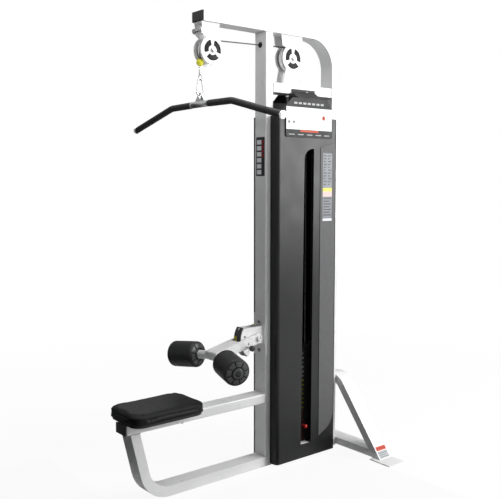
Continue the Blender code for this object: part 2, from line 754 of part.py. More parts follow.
def make_guides():
    low = BASE_HEIGHT + GAP
    high = CROSSBAR_TOP - TUBE_DEPTH - GAP
    for side, label in ((-1, "front"), (1, "rear")):
        y = STACK_Y + side * ROD_OFFSET
        cylinder("guide_rod_" + label, ROD_RADIUS, (0, y, low), (0, y, high), CHROME, 20)
    strip_low = (-0.018, STACK_Y - ROD_OFFSET, low)
    strip_high = (0.018, STACK_Y + ROD_OFFSET, low + 0.006)
    bumper = box("stack_bumper", strip_low, strip_high, RUBBER)
    for side in (-1, 1):
        y = STACK_Y + side * ROD_OFFSET
        foot = (0, y, low)
        pad = cylinder(f"bumper_pad_{side}", 0.026, foot, (0, y, STACK_BOTTOM - GAP), RUBBER, 20)
        hole = cylinder(f"bumper_hole_{side}", ROD_BORE, (0, y, 0.02), (0, y, 0.12), RUBBER, 12)
        cut(join(bumper, pad), hole)


# ---------------------------------------------------------------- covers and placards
def slot_outline():
    front_low, rear_low, low = 0.205, 0.2805, 0.088
    front_high, rear_high, high = 0.222, 0.291, 1.698
    return rounded(
        [(front_low, low), (rear_low, low), (rear_high, high), (front_high, high)],
        [0.006, 0.006, 0.004, 0.058], 4
    )


def make_shrouds():
    half = SHROUD_WALL / 2
    face = SHROUD_FACE - half
    corners = [
        (HALF_WIDTH + 0.0025, SHROUD_FRONT + half), (face, SHROUD_FRONT + half),
        (face, SHROUD_REAR - half), (0.0010, SHROUD_REAR - half),
    ]
    path = rounded(corners, SHROUD_CORNER, 5, False)
    height = SHROUD_TOP - SHROUD_BOTTOM
    middle = (SHROUD_TOP + SHROUD_BOTTOM) / 2
    section = [ribbon(path, SHROUD_WALL)]
    right = plate("shroud_right", section, PLAN_VIEW, middle, height, SHROUD_PLASTIC)
    slot = plate("pin_slot", [slot_outline()], SIDE_VIEW, SHROUD_FACE - half, 0.02, SHROUD_PLASTIC)
    left = plate("shroud_left", section, PLAN_VIEW, middle, height, SHROUD_PLASTIC)
    left.data.transform(Matrix.Diagonal((-1, 1, 1, 1)))
    left.data.flip_normals()
    cut(right, slot)
    for cover, label in ((right, "right"), (left, "left")):
        low, high = (-0.048, 0.44, -0.01), (0.048, 0.50, BASE_HEIGHT + 0.003)
        cut(cover, box("base_notch_" + label, low, high, SHROUD_PLASTIC))

    inner, outer = 0.338, 0.449
    outline = [(inner, 0.112)] + arc((inner, 0.236), outer - inner, -62, 0, 6) + [
        (outer, 1.736), (inner, 1.708)
    ]
    depth = 0.0022
    plane = SHROUD_FACE + GAP + depth / 2
    plate("accent_panel", [outline], SIDE_VIEW, plane, depth, ACCENT_PLASTIC)


def make_placards():
    thickness = 0.002
    face_x = 0.1065
    tab = [(HALF_WIDTH + 0.0015, 2.012), (HALF_WIDTH + 0.0015, 2.000), (face_x + 0.0006, 1.953)]
    tab_front, tab_rear = 0.176, 0.345
    middle = (tab_front + tab_rear) / 2
    tab_plate = plate(
        "placard_tab", [ribbon(tab, thickness)], FRONT_VIEW, -middle, tab_rear - tab_front, SIGN_FACE
    )
    corners = [(0.083, 1.755), (0.419, 1.755), (0.419, 1.915), (0.378, 1.960), (0.128, 1.960), (0.083, 1.915)]
    outline = rounded(corners, [0.012, 0.012, 0.025, 0.025, 0.025, 0.025], 3)
    sign = plate("placard_right", [outline], SIDE_VIEW, face_x, thickness, SIGN_FACE)
    join(sign, tab_plate)
    mirrored("placard_left", sign, SIGN_FACE)


# ---------------------------------------------------------------- thigh hold-down
def pivot_polar(radius, degrees):
    """A (Y, Z) place at an angle above the forward horizontal, seen from the pivot."""
    angle = math.radians(180 - degrees)
    return (PIVOT[0] + radius * math.cos(angle), PIVOT[1] + radius * math.sin(angle))


def make_thigh_bracket():
    bottom, top = 0.602, 0.824
    wall = 0.004
    skin = HALF_WIDTH + GAP + wall / 2
    front = -GAP - wall / 2
    path = rounded([(-skin, 0.028), (-skin, front), (skin, front), (skin, 0.028)], 0.003, 2, False)
    sleeve = plate(
        "thigh_bracket", [ribbon(path, wall)], PLAN_VIEW, (bottom + top) / 2, top - bottom, WHITE_PAINT
    )
    weld_y = front
    rim = [pivot_polar(SECTOR_RADIUS, angle) for angle in range(34, -57, -9)]
    outline = [(weld_y, 0.764)] + rim + [pivot_polar(0.070, -56), (-0.070, 0.672), (weld_y, 0.672)]
    holes = [circle(PIVOT, 0.0086, 14)]
    for k in (-1, 0, 1, 2):
        holes.append(circle(pivot_polar(INDEX_RADIUS, INDEX_REST + k * INDEX_STEP), 0.0058, 12))
    for side in (-1, 1):
        cheek = plate(f"sector_{side}", [outline] + holes, SIDE_VIEW, side * SECTOR_SIDE, 0.005, WHITE_PAINT)
        join(sleeve, cheek)

    band = 0.007
    mid = SECTOR_RADIUS - 0.004 + band / 2
    strip_path = [pivot_polar(mid, angle) for angle in range(36, -58, -9)]
    strip_width = 2 * (SECTOR_SIDE - 0.0025 - GAP)
    plate("index_strip", [ribbon(strip_path, band)], SIDE_VIEW, 0.0, strip_width, GREY_PAINT)

    inside = 0.0445 + GAP
    outside = inside + 0.008
    head = 0.0135
    shaft = 0.0080
    profile = [
        (0, outside), (head - 0.003, outside), (head, outside - 0.003), (head, inside),
        (shaft, inside), (shaft, -inside), (head, -inside), (head, -outside + 0.003),
        (head - 0.003, -outside), (0, -outside),
    ]
    turned("pivot_bolt", profile, (0, *PIVOT), (1, 0, 0), STEEL, 20)


def roller_direction(side):
    flat = math.cos(ROLLER_DROP)
    return Vector((
        side * math.cos(ROLLER_SWEEP) * flat, -math.sin(ROLLER_SWEEP) * flat, -math.sin(ROLLER_DROP)
    ))


def on_roller_axis(side, distance):
    return Vector((0, *ROLLER_APEX)) + roller_direction(side) * distance


def make_thigh_arm():
    half = TUBE_DEPTH / 2
    cheek = 0.0445
    heel_centre = Vector(PIVOT)
    tip_centre = Vector(pivot_polar(ARM_LENGTH, -ARM_DROP))
    up = Vector(pivot_polar(half, 90 - ARM_DROP)) - heel_centre
    corners = [heel_centre - up, tip_centre - up, tip_centre + up, heel_centre + up]
    body = rounded(corners, [0.0, 0.012, 0.012, 0.0], 3)
    arm = plate("thigh_arm", [body], SIDE_VIEW, 0.0, 2 * cheek, WHITE_PAINT)
    join(arm, cylinder("arm_heel", half + 0.002, (-cheek, *PIVOT), (cheek, *PIVOT), WHITE_PAINT))
    round_edges(arm, 0.003, 1)
    index = pivot_polar(INDEX_RADIUS, INDEX_REST)
    join(arm, cylinder("pin_boss", 0.0115, (0.034, *index), (cheek + 0.002, *index), WHITE_PAINT))
    reach = 0.125
    fork = plate(
        "arm_fork", [circle(PIVOT, reach, 32)], SIDE_VIEW, 0.0, ARM_SLOT, WHITE_PAINT
    )
    cut(arm, fork)
    cut(arm, cylinder("arm_pivot_hole", 0.0086, (-0.06, *PIVOT), (0.06, *PIVOT), STEEL, 14))
    cut(arm, cylinder("arm_pin_hole", 0.0058, (0, *index), (0.06, *index), STEEL, 12))
    for side, label in ((1, "right"), (-1, "left")):
        start = on_roller_axis(side, 0.010)
        shaft_end = on_roller_axis(side, ROLLER_END - 0.011)
        join(arm, cylinder("shaft_" + label, SHAFT_RADIUS, start, shaft_end, STEEL, 20))
        collar_end = on_roller_axis(side, ROLLER_START - 0.003)
        join(arm, cylinder("collar_" + label, 0.0225, start, collar_end, STEEL, 20))

    knob = 0.0165
    pin = [
        (0, 0.093), (knob - 0.005, 0.093), (knob, 0.087), (knob, 0.076), (knob - 0.006, 0.070),
        (0.009, 0.066), (0.009, 0.0575), (0.005, 0.0575), (0.005, 0.0315), (0.004, 0.0305), (0, 0.0305),
    ]
    turned("pull_pin", pin, (0, *index), (1, 0, 0), BLACK_PLASTIC, 20)


def make_rollers():
    length = ROLLER_END - ROLLER_START
    crown = 0.022
    ends = []
    for i in range(6):
        angle = math.radians(90 * i / 5)
        ends.append((ROLLER_RADIUS - crown + crown * math.sin(angle), crown * (1 - math.cos(angle))))
    recess = 0.047
    bore = SHAFT_RADIUS + 0.0008
    outer_end = [(r, length - h) for r, h in ends]
    inner_end = [(r, h) for r, h in reversed(ends)]
    profile = (
        [(bore, length - 0.008), (recess, length - 0.008), (recess, length)]
        + outer_end[1:] + inner_end[:-1] + [(recess, 0.0), (bore, 0.0)]
    )
    cap = [
        (0, length + 0.006), (0.016, length + 0.006), (0.019, length + 0.003),
        (recess - 0.006, length + 0.003), (recess - 0.0008, length - 0.001),
        (recess - 0.0008, length - 0.0076), (0, length - 0.0076),
    ]
    for side, label in ((1, "right"), (-1, "left")):
        origin = on_roller_axis(side, ROLLER_START)
        axis = roller_direction(side)
        turned("roller_" + label, profile, origin, axis, RUBBER, 32, ring=True)
        turned("roller_cap_" + label, cap, origin, axis, BLACK_PLASTIC, 24)


# ---------------------------------------------------------------- seat
def make_seat():
    half_width = SEAT_WIDTH / 2
    front = SEAT_CENTRE_Y - SEAT_LENGTH / 2
    rear = SEAT_CENTRE_Y + SEAT_LENGTH / 2
    corners = [(-half_width, front), (half_width, front), (half_width, rear), (-half_width, rear)]
    low = SEAT_BEAM_TOP + GAP
    pad = plate(
        "seat_pad", [rounded(corners, 0.062, 6)], PLAN_VIEW, (low + SEAT_TOP) / 2, SEAT_TOP - low,
        UPHOLSTERY
    )
    round_edges(pad, 0.012, 3)


# ---------------------------------------------------------------- joint axes and shading
def group_under(name, place, members):
    """Hang moving pieces from an empty on their joint's axis."""
    empty = bpy.data.objects.new(name, None)
    empty.empty_display_size = 0.05
    empty.location = place
    PARTS.objects.link(empty)
    bpy.context.view_layer.update()
    for member in members:
        obj = bpy.data.objects[member]
        matrix = obj.matrix_world.copy()
        obj.parent = empty
        obj.matrix_parent_inverse = empty.matrix_world.inverted()
        obj.matrix_world = matrix


def add_joint_empties():
    lifted = [group_name(numbers) for numbers in plate_groups() if numbers[-1] <= PIN_PLATE]
    group_under(
        "stack_slide_axis", (0, STACK_Y, head_bottom()),
        ["head_plate", "selector_stem", "rear_cable_drop"] + lifted,
    )
    group_under(
        "bar_swivel_axis", (0, FRONT_DROP_Y, BALL_Z),
        ["cable_eye", "snap_hook", "lat_bar", "grip_right", "grip_left", "cable_stop_ball",
         "front_cable_drop"],
    )
    gate_hinge = hook_point(*arc((0, 1.9600), 0.0200, -170, -170, 1)[0])
    group_under("gate_hinge_axis", gate_hinge, ["snap_gate"])
    group_under("arm_pivot_axis", (0, *PIVOT), ["thigh_arm"])


def shade_round_pieces():
    for obj in PARTS.objects:
        if obj.type == "MESH" and len(obj.data.polygons) > 0:
            obj.data.shade_smooth()
            obj.data.set_sharp_from_angle(angle=math.radians(35))
        for modifier in obj.modifiers:
            if modifier.type == "SCREW":
                modifier.use_smooth_shade = True


make_frame()
make_end_caps()
make_rear_stabiliser()
make_cable()
make_pulleys()
make_stop_and_eye()
make_snap_hook()
make_lat_bar()
make_weight_plates()
make_selector()
make_guides()
make_shrouds()
make_placards()
make_thigh_bracket()
make_thigh_arm()
make_rollers()
make_seat()
add_joint_empties()
shade_round_pieces()
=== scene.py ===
"""Looks of a lat pulldown machine with a selector weight stack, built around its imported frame.

Axes as in the frame: +X to the machine's right, +Y to the rear, +Z up, metres.
"""

import json
import math

import bmesh
import bpy
import numpy as np
from mathutils import Matrix, Vector, noise
from mathutils.bvhtree import BVHTree

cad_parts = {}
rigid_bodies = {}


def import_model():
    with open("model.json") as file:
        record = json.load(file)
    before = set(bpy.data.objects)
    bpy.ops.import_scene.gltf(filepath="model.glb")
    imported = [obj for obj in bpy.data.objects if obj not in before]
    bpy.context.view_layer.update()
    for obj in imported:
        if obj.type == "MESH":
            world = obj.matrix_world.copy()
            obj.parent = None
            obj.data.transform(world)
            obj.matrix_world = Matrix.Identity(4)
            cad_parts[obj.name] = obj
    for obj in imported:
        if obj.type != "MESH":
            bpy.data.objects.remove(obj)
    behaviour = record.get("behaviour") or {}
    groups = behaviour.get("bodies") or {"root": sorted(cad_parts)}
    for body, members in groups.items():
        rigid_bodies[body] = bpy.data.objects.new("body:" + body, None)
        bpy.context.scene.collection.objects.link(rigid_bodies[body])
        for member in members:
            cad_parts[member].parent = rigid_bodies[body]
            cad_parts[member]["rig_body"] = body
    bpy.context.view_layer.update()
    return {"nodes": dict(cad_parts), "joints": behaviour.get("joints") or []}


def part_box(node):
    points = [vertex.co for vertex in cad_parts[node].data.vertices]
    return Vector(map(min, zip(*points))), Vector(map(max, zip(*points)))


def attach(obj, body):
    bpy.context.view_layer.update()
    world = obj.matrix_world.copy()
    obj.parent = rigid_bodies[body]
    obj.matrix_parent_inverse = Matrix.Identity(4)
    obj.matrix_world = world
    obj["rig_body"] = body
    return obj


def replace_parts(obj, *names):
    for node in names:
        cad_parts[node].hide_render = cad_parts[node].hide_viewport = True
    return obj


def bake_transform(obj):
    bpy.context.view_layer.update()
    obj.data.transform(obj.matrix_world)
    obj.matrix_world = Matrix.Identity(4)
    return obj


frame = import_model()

NODES = frame["nodes"]
JOINTS = {joint["name"]: joint for joint in frame["joints"]}

SIDE_VIEW = Matrix(((0, 0, 1), (1, 0, 0), (0, 1, 0)))    # an outline's x is Y, its y is Z
FRONT_VIEW = Matrix(((1, 0, 0), (0, 0, -1), (0, 1, 0)))  # an outline's x is X, its y is Z
PLAN_VIEW = Matrix.Identity(3)                           # an outline's x is X, its y is Y
UP = Vector((0, 0, 1))
RIGHT = Vector((1, 0, 0))
REAR = Vector((0, 1, 0))
SIDES = ((1, "right"), (-1, "left"))


# ---- materials
def shader_node(tree, kind, **values):
    """A shader node with some inputs set; a keyword's _ stands for a space."""
    node = tree.nodes.new("ShaderNode" + kind)
    for name, value in values.items():
        node.inputs[name.replace("_", " ")].default_value = value
    return node


class Finish:
    """A Principled material, with short ways to drive its colour, roughness and bump."""

    def __init__(self, name, colour, roughness, metallic=0.0, coat=0.0, specular=0.5):
        self.material = bpy.data.materials.new(name)
        self.material.use_nodes = True
        self.tree = self.material.node_tree
        self.shader = self.tree.nodes["Principled BSDF"]
        self.colour = colour
        self.tint = colour
        self.set("Base Color", (*colour, 1.0))
        self.set("Roughness", roughness)
        self.set("Metallic", metallic)
        self.set("Coat Weight", coat)
        self.set("Specular IOR Level", specular)
        self.place = self.node("TexCoord").outputs["Object"]
        self.height = None

    def node(self, kind, **values):
        return shader_node(self.tree, kind, **values)

    def set(self, name, value):
        self.shader.inputs[name].default_value = value

    def link(self, source, target):
        self.tree.links.new(source, target)

    def stretched(self, scale):
        mapping = self.node("Mapping", Scale=scale)
        self.link(self.place, mapping.inputs["Vector"])
        return mapping.outputs["Vector"]

    def noise(self, scale, detail=3.0, place=None):
        node = self.node("TexNoise", Scale=scale, Detail=detail)
        self.link(place or self.place, node.inputs["Vector"])
        return node.outputs["Fac"]

    def cells(self, scale, feature="F1"):
        node = self.node("TexVoronoi")
        node.feature = feature
        node.inputs["Scale"].default_value = scale
        self.link(self.place, node.inputs["Vector"])
        return node.outputs["Distance"]

    def spread(self, factor, low, high, start=0.3, end=0.7):
        node = self.node("MapRange", From_Min=start, From_Max=end, To_Min=low, To_Max=high)
        self.link(factor, node.inputs["Value"])
        return node.outputs["Result"]

    def mix(self, factor, first, second):
        node = self.node("Mix")
        node.data_type = "RGBA"
        self.link(factor, node.inputs["Factor"])
        for socket, value in ((node.inputs["A"], first), (node.inputs["B"], second)):
            if isinstance(value, tuple):
                socket.default_value = (*value, 1.0)
            else:
                self.link(value, socket)
        return node.outputs["Result"]

    def mottle(self, scale, change):
        """Vary the base colour a little over the surface."""
        low = tuple(c * (1 - change) for c in self.colour)
        high = tuple(min(c * (1 + change), 1.0) for c in self.colour)
        self.tint = self.mix(self.spread(self.noise(scale), 0, 1), low, high)
        self.link(self.tint, self.shader.inputs["Base Color"])
        return self

    def paint_corner_shade(self, reach, dark):
        """Painted shade: darken the paint's colour a little in corners and seams, where ambient occlusion
        finds shade.
        """
        shade = self.node("AmbientOcclusion", Distance=reach)
        shade.samples = 4
        corner_shade_colour = tuple(c * dark for c in self.colour)
        factor = self.spread(shade.outputs["AO"], 0, 1, 0.2, 0.8)
        self.link(self.mix(factor, corner_shade_colour, self.tint), self.shader.inputs["Base Color"])
        return self

    def gloss(self, scale, low, high):
        self.link(self.spread(self.noise(scale), low, high), self.shader.inputs["Roughness"])
        return self

    def bump(self, height, distance, strength=1.0):
        node = self.node("Bump", Distance=distance, Strength=strength)
        self.link(height, node.inputs["Height"])
        if self.height is not None:
            self.link(self.height, node.inputs["Normal"])
        self.height = node.outputs["Normal"]
        self.link(self.height, self.shader.inputs["Normal"])
        return self


def powder_coat(name, colour, low, high):
    finish = Finish(name, colour, low, coat=0.15)
    # painted shade: the coat's colour is darkened in corners and seams by ambient occlusion
    finish.mottle(9, 0.02).paint_corner_shade(0.012, 0.80).gloss(14, low, high)
    finish.bump(finish.noise(900, 2), 0.00008, 0.5)
    return finish.material


def moulded(name, colour, low, high, grain=1500, depth=0.00006, change=0.10, specular=0.5):
    finish = Finish(name, colour, low, specular=specular)
    finish.mottle(30, change).gloss(25, low, high)
    finish.bump(finish.noise(grain, 2), depth, 0.6)
    return finish.material


def printed(name, colour, change=0.05, low=0.34, specular=0.5):
    """A printed colour for stickers."""
    return moulded("label_" + name, colour, low, low + 0.08, 900, 0.00002, change, specular)


def cover_finish():
    """Textured dark coating of the stack's covers, with faint long scuffs."""
    finish = Finish("cover_coat", (0.0080, 0.0084, 0.0084), 0.40, specular=0.34)
    finish.mottle(5, 0.06).gloss(8, 0.32, 0.42)
    finish.bump(finish.noise(1100, 2), 0.00010, 0.6)
    finish.bump(finish.noise(60, 3, finish.stretched((1, 1, 0.03))), 0.00010, 0.15)
    return finish.material


def leather_finish():
    finish = Finish("black_leather", (0.0050, 0.0052, 0.0054), 0.50, specular=0.16)
    finish.mottle(18, 0.08).gloss(40, 0.42, 0.52)
    finish.bump(finish.cells(420, "DISTANCE_TO_EDGE"), 0.00016, 0.40)
    finish.bump(finish.noise(160, 3), 0.00010, 0.20)
    return finish.material


def foam_finish():
    finish = Finish("foam_skin", (0.0125, 0.0128, 0.0128), 0.50, specular=0.34)
    finish.mottle(22, 0.16).gloss(30, 0.44, 0.60)
    finish.bump(finish.cells(900), 0.00012, 0.4)
    finish.bump(finish.noise(90, 3), 0.00020, 0.25)
    return finish.material


def metal(name, colour, low, high, brushed=None, depth=0.00002):
    finish = Finish(name, colour, low, 1.0)
    finish.mottle(20, 0.03).gloss(35, low, high)
    place = finish.stretched(brushed) if brushed else None
    finish.bump(finish.noise(500, 3, place), depth, 0.5)
    return finish.material


def iron_finish():
    finish = Finish("stack_iron", (0.018, 0.018, 0.019), 0.45, 0.2)
    finish.mottle(30, 0.25).gloss(40, 0.38, 0.60)
    finish.bump(finish.cells(300), 0.00025, 0.5)
    return finish.material


WHITE = powder_coat("white_powder_coat", (0.83, 0.83, 0.83), 0.26, 0.36)
GREY = powder_coat("grey_powder_coat", (0.055, 0.055, 0.057), 0.38, 0.50)
COVER = cover_finish()
ACCENT = moulded("accent_plastic_grain", (0.128, 0.129, 0.131), 0.40, 0.50, change=0.04, specular=0.16)
BLACK = moulded("black_plastic_grain", (0.005, 0.005, 0.005), 0.34, 0.48)
WHEEL = moulded("pulley_nylon", (0.90, 0.90, 0.89), 0.38, 0.52, change=0.02)
INLAY = moulded("pulley_inlay", (0.012, 0.012, 0.013), 0.45, 0.55, specular=0.2)
PETAL = moulded("roller_end_plastic", (0.055, 0.056, 0.056), 0.34, 0.46)
RUBBER = moulded("soft_rubber", (0.008, 0.008, 0.008), 0.50, 0.68, 700, 0.00020)
LEATHER = leather_finish()
FOAM = foam_finish()
CHROME = metal("polished_chrome", (0.80, 0.80, 0.81), 0.08, 0.16)
SATIN = metal("satin_aluminium", (0.96, 0.96, 0.96), 0.34, 0.44)
STEEL = metal("zinc_plated_steel", (0.56, 0.56, 0.55), 0.24, 0.38, (1, 1, 6), 0.00005)
ROD = metal("oiled_steel", (0.10, 0.10, 0.10), 0.25, 0.35)
DARK_STEEL = metal("black_oxide_steel", (0.20, 0.20, 0.20), 0.30, 0.42)
CABLE = moulded("cable_jacket", (0.014, 0.014, 0.014), 0.24, 0.34, 900, 0.00008)
YELLOW = moulded("yellow_rubber", (1.0, 0.93, 0.050), 0.36, 0.48, 800, 0.00008, 0.04)
RED = moulded("red_plastic_gloss", (0.55, 0.020, 0.018), 0.22, 0.32, 900, 0.00004, 0.06)
IRON = iron_finish()
SIGN = moulded("sign_film", (0.020, 0.020, 0.021), 0.40, 0.50, 1200, 0.00003, 0.03, specular=0.20)
PAPER = printed("white", (0.82, 0.83, 0.84), 0.02)
FAINT = printed("pale_grey", (0.34, 0.35, 0.36))
INK = printed("dark", (0.020, 0.021, 0.023), 0.10)
SLATE = printed("blue_grey", (0.15, 0.165, 0.19), 0.08)
ORANGE = printed("orange", (0.62, 0.075, 0.018), 0.05, 0.36, 0.2)
SUN = printed("yellow", (0.74, 0.64, 0.04))
BLUSH = printed("pink", (0.66, 0.50, 0.47))
SIGNAL = printed("red", (0.36, 0.014, 0.012), 0.05, 0.36, 0.2)


# ---- geometry helpers
def pivot_of(joint):
    return Vector(JOINTS[joint]["pos_m"])


def add(name, mesh, materials, body, smooth=35):
    """Put a mesh in the scene as a piece that rides on a body."""
    for material in materials:
        mesh.materials.append(material)
    if smooth:
        mesh.shade_smooth()
        mesh.set_sharp_from_angle(angle=math.radians(smooth))
    obj = bpy.data.objects.new(name, mesh)
    bpy.context.scene.collection.objects.link(obj)
    if body:
        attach(obj, body)
    return obj


def mesh_of(name, bm):
    mesh = bpy.data.meshes.new(name)
    bm.to_mesh(mesh)
    bm.free()
    return mesh


def from_bmesh(name, bm, material, body, smooth=35):
    bmesh.ops.recalc_face_normals(bm, faces=bm.faces)
    return add(name, mesh_of(name, bm), [material], body, smooth)


def along(axis):
    return UP.rotation_difference(Vector(axis)).to_matrix().to_4x4()


def lathe(name, profile, origin, axis, material, body, steps=64, ripple=0):
    """Turn (radius, height[, ripple depth]) points about an axis; a ring if both ends are off it."""
    bm = bmesh.new()
    rings = []
    for radius, height, *depth in profile:
        if radius < 1e-6:
            rings.append([bm.verts.new((0, 0, height))] * steps)
            continue
        ring = []
        for i in range(steps):
            angle = math.tau * i / steps
            reach = radius + (depth[0] * math.cos(ripple * angle) if depth else 0.0)
            ring.append(bm.verts.new((reach * math.cos(angle), reach * math.sin(angle), height)))
        rings.append(ring)
    pairs = list(zip(rings, rings[1:]))
    if profile[0][0] > 1e-6 and profile[-1][0] > 1e-6:
        pairs.append((rings[-1], rings[0]))
    for upper, lower in pairs:
        for i in range(steps):
            j = (i + 1) % steps
            corners = list(dict.fromkeys((upper[i], upper[j], lower[j], lower[i])))
            if len(corners) > 2:
                bm.faces.new(corners)
    bm.transform(Matrix.Translation(origin) @ along(axis))
    return from_bmesh(name, bm, material, body)


def arc(centre, radius, start, end, steps):
    """Points on an arc; angles in degrees."""
    points = []
    for i in range(steps + 1):
        angle = math.radians(start + (end - start) * i / steps)
        points.append((centre[0] + radius * math.cos(angle), centre[1] + radius * math.sin(angle)))
    return points


def circle(centre, radius, sides=32):
    return arc(centre, radius, 0, 360 - 360 / sides, sides - 1)


def rounded(corners, radius, steps=6, closed=True):
    """Replace the corners of a polygon, or the inner corners of a path, by arcs."""
    points = []
    for i, corner in enumerate(corners):
        here = Vector(corner)
        if not closed and i in (0, len(corners) - 1):
            points.append(here)
            continue
        back = (Vector(corners[i - 1]) - here).normalized()
        ahead = (Vector(corners[(i + 1) % len(corners)]) - here).normalized()
        half = back.angle(ahead) / 2
        centre = here + (back + ahead).normalized() * radius / math.sin(half)
        first = here + back * radius / math.tan(half)
        last = here + ahead * radius / math.tan(half)
        for step in range(steps + 1):
            spoke = (first - centre).lerp(last - centre, step / steps)
            points.append(centre + spoke.normalized() * radius)
    return [tuple(p) for p in points]


def mirrored(half, waist=()):
    """A lathe profile from its upper half, with any points at mid height."""
    return [*half, *waist, *((radius, -height) for radius, height in reversed(half))]


def evaluated(obj):
    bpy.context.view_layer.update()
    mesh = bpy.data.meshes.new_from_object(obj.evaluated_get(bpy.context.evaluated_depsgraph_get()))
    mesh.transform(obj.matrix_world)
    bpy.data.objects.remove(obj)
    mesh.materials.clear()
    return mesh


def curve(name, paths, dimensions, cyclic):
    data = bpy.data.curves.new(name, "CURVE")
    data.dimensions = dimensions
    for path in paths:
        spline = data.splines.new("POLY")
        spline.points.add(len(path) - 1)
        for point, place in zip(spline.points, path):
            point.co = (*place, *(0.0,) * (3 - len(place)), 1.0)
        spline.use_cyclic_u = cyclic
    obj = bpy.data.objects.new(name, data)
    bpy.context.scene.collection.objects.link(obj)
    return obj


def welded(mesh):
    bm = bmesh.new()
    bm.from_mesh(mesh)
    bmesh.ops.remove_doubles(bm, verts=bm.verts, dist=0.000005)
    bmesh.ops.recalc_face_normals(bm, faces=bm.faces)
    bm.to_mesh(mesh)
    bm.free()
    return mesh


def plate(name, outlines, view, middle, thickness, material, body, edge=0.0):
    """A flat outline, with holes as further outlines, made solid about its middle plane."""
    obj = curve(name + "_outline", outlines, "2D", True)
    obj.data.fill_mode = "BOTH"
    obj.data.extrude = thickness / 2
    obj.matrix_world = Matrix.Translation(view @ Vector((0, 0, middle))) @ view.to_4x4()
    mesh = welded(evaluated(obj))
    if edge:
        bm = bmesh.new()
        bm.from_mesh(mesh)
        sharp = [e for e in bm.edges if len(e.link_faces) == 2 and e.calc_face_angle() > 1.0]
        bmesh.ops.bevel(bm, geom=sharp, offset=edge, segments=2, profile=0.6, affect="EDGES")
        bm.to_mesh(mesh)
        bm.free()
    return add(name, mesh, [material], body)


def cord(name, points, closed, radius, rings):
    """A curve with a round section."""
    obj = curve(name + "_path", [points], "3D", closed)
    obj.data.bevel_depth = radius
    obj.data.bevel_resolution = rings
    obj.data.use_fill_caps = not closed
    return obj


def tube(name, points, radius, material, body, closed=False, rings=5, upright=False):
    obj = cord(name, points, closed, radius, rings)
    if upright:
        obj.data.twist_mode = "Z_UP"
    return add(name, welded(evaluated(obj)), [material], body, 50)


def block(name, low, high, material, body, edge):
    """A box with rounded edges."""
    size = Vector(high) - Vector(low)
    bm = bmesh.new()
    bmesh.ops.create_cube(bm, size=1.0, matrix=Matrix.Diagonal((*size, 1.0)))
    bmesh.ops.bevel(bm, geom=bm.edges[:], offset=edge, segments=2, profile=0.5, affect="EDGES")
    bm.transform(Matrix.Translation((Vector(high) + Vector(low)) / 2))
    return from_bmesh(name, bm, material, body, 50)


def bolt(name, place, axis, body, size, washer=True, material=STEEL):
    """A hexagon head with a chamfered top, on a washer."""
    turn = Matrix.Translation(place) @ along(axis)
    bm = bmesh.new()
    lift = size * 0.18 if washer else 0.0
    head = size * 0.62
    bmesh.ops.create_cone(
        bm, cap_ends=True, segments=6, radius1=size, radius2=size, depth=head,
        matrix=Matrix.Translation((0, 0, lift + head / 2)),
    )
    top = [e for e in bm.edges if all(v.co.z > lift + head * 0.9 for v in e.verts)]
    bmesh.ops.bevel(bm, geom=top, offset=size * 0.16, segments=1, affect="EDGES")
    bm.transform(turn)
    from_bmesh(name, bm, material, body)
    if washer:
        wide = size * 1.35
        profile = [(0, lift), (wide * 0.94, lift), (wide, lift * 0.7), (wide, 0.0), (0, 0.0)]
        lathe(name + "_washer", profile, place, axis, STEEL, body, 40)


def socket_screw(name, place, axis, body, radius, material=STEEL):
    """A low round head with a socket."""
    high = radius * 0.5
    deep = high * 0.45
    profile = [
        (0, high - deep), (radius * 0.42, high - deep), (radius * 0.46, high),
        (radius * 0.80, high * 0.92), (radius * 0.96, high * 0.55), (radius, 0.0), (0, 0.0),
    ]
    lathe(name, profile, place, axis, material, body, 32)


def stickers(name, origin, across, up, shapes, body, lift=0.00025):
    """Printed areas on a flat face, each a very thin block (left, bottom, right, top, material)."""
    across = Vector(across).normalized()
    up = Vector(up).normalized()
    out = across.cross(up)
    bm = bmesh.new()
    used = []
    for index, (left, bottom, right, top, material) in enumerate(shapes):
        if material not in used:
            used.append(material)
        top_face = lift * (1 + 0.35 * min(index, 2))
        size = (right - left, top - bottom, top_face)
        place = Matrix.Translation(((left + right) / 2, (bottom + top) / 2, top_face / 2))
        made = bmesh.ops.create_cube(bm, size=1.0, matrix=place @ Matrix.Diagonal((*size, 1.0)))
        for face in {f for v in made["verts"] for f in v.link_faces}:
            face.material_index = used.index(material)
    basis = Matrix((across, up, out)).transposed().to_4x4()
    bm.transform(Matrix.Translation(origin) @ basis)
    return add(name, mesh_of(name, bm), used, body, 0)


def reach_along(node, origin, axis):
    """Lowest and highest distance of a node along an axis, and its largest radius about it."""
    axis = Vector(axis).normalized()
    offsets = [v.co - Vector(origin) for v in NODES[node].data.vertices]
    heights = [o.dot(axis) for o in offsets]
    radii = [(o - axis * h).length for o, h in zip(offsets, heights)]
    return min(heights), max(heights), max(radii)


def soften(obj, width, segments):
    """Round an object's sharp edges with a modifier."""
    bevel = obj.modifiers.new("edge", "BEVEL")
    bevel.width = width
    bevel.segments = segments
    bevel.limit_method = "ANGLE"
    bevel.angle_limit = math.radians(50)


def middle(node):
    low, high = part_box(node)
    return (low + high) / 2


def dress(material, *names):
    """Give CAD nodes their material."""
    for name in names:
        slots = NODES[name].data.materials
        slots.clear()
        slots.append(material)


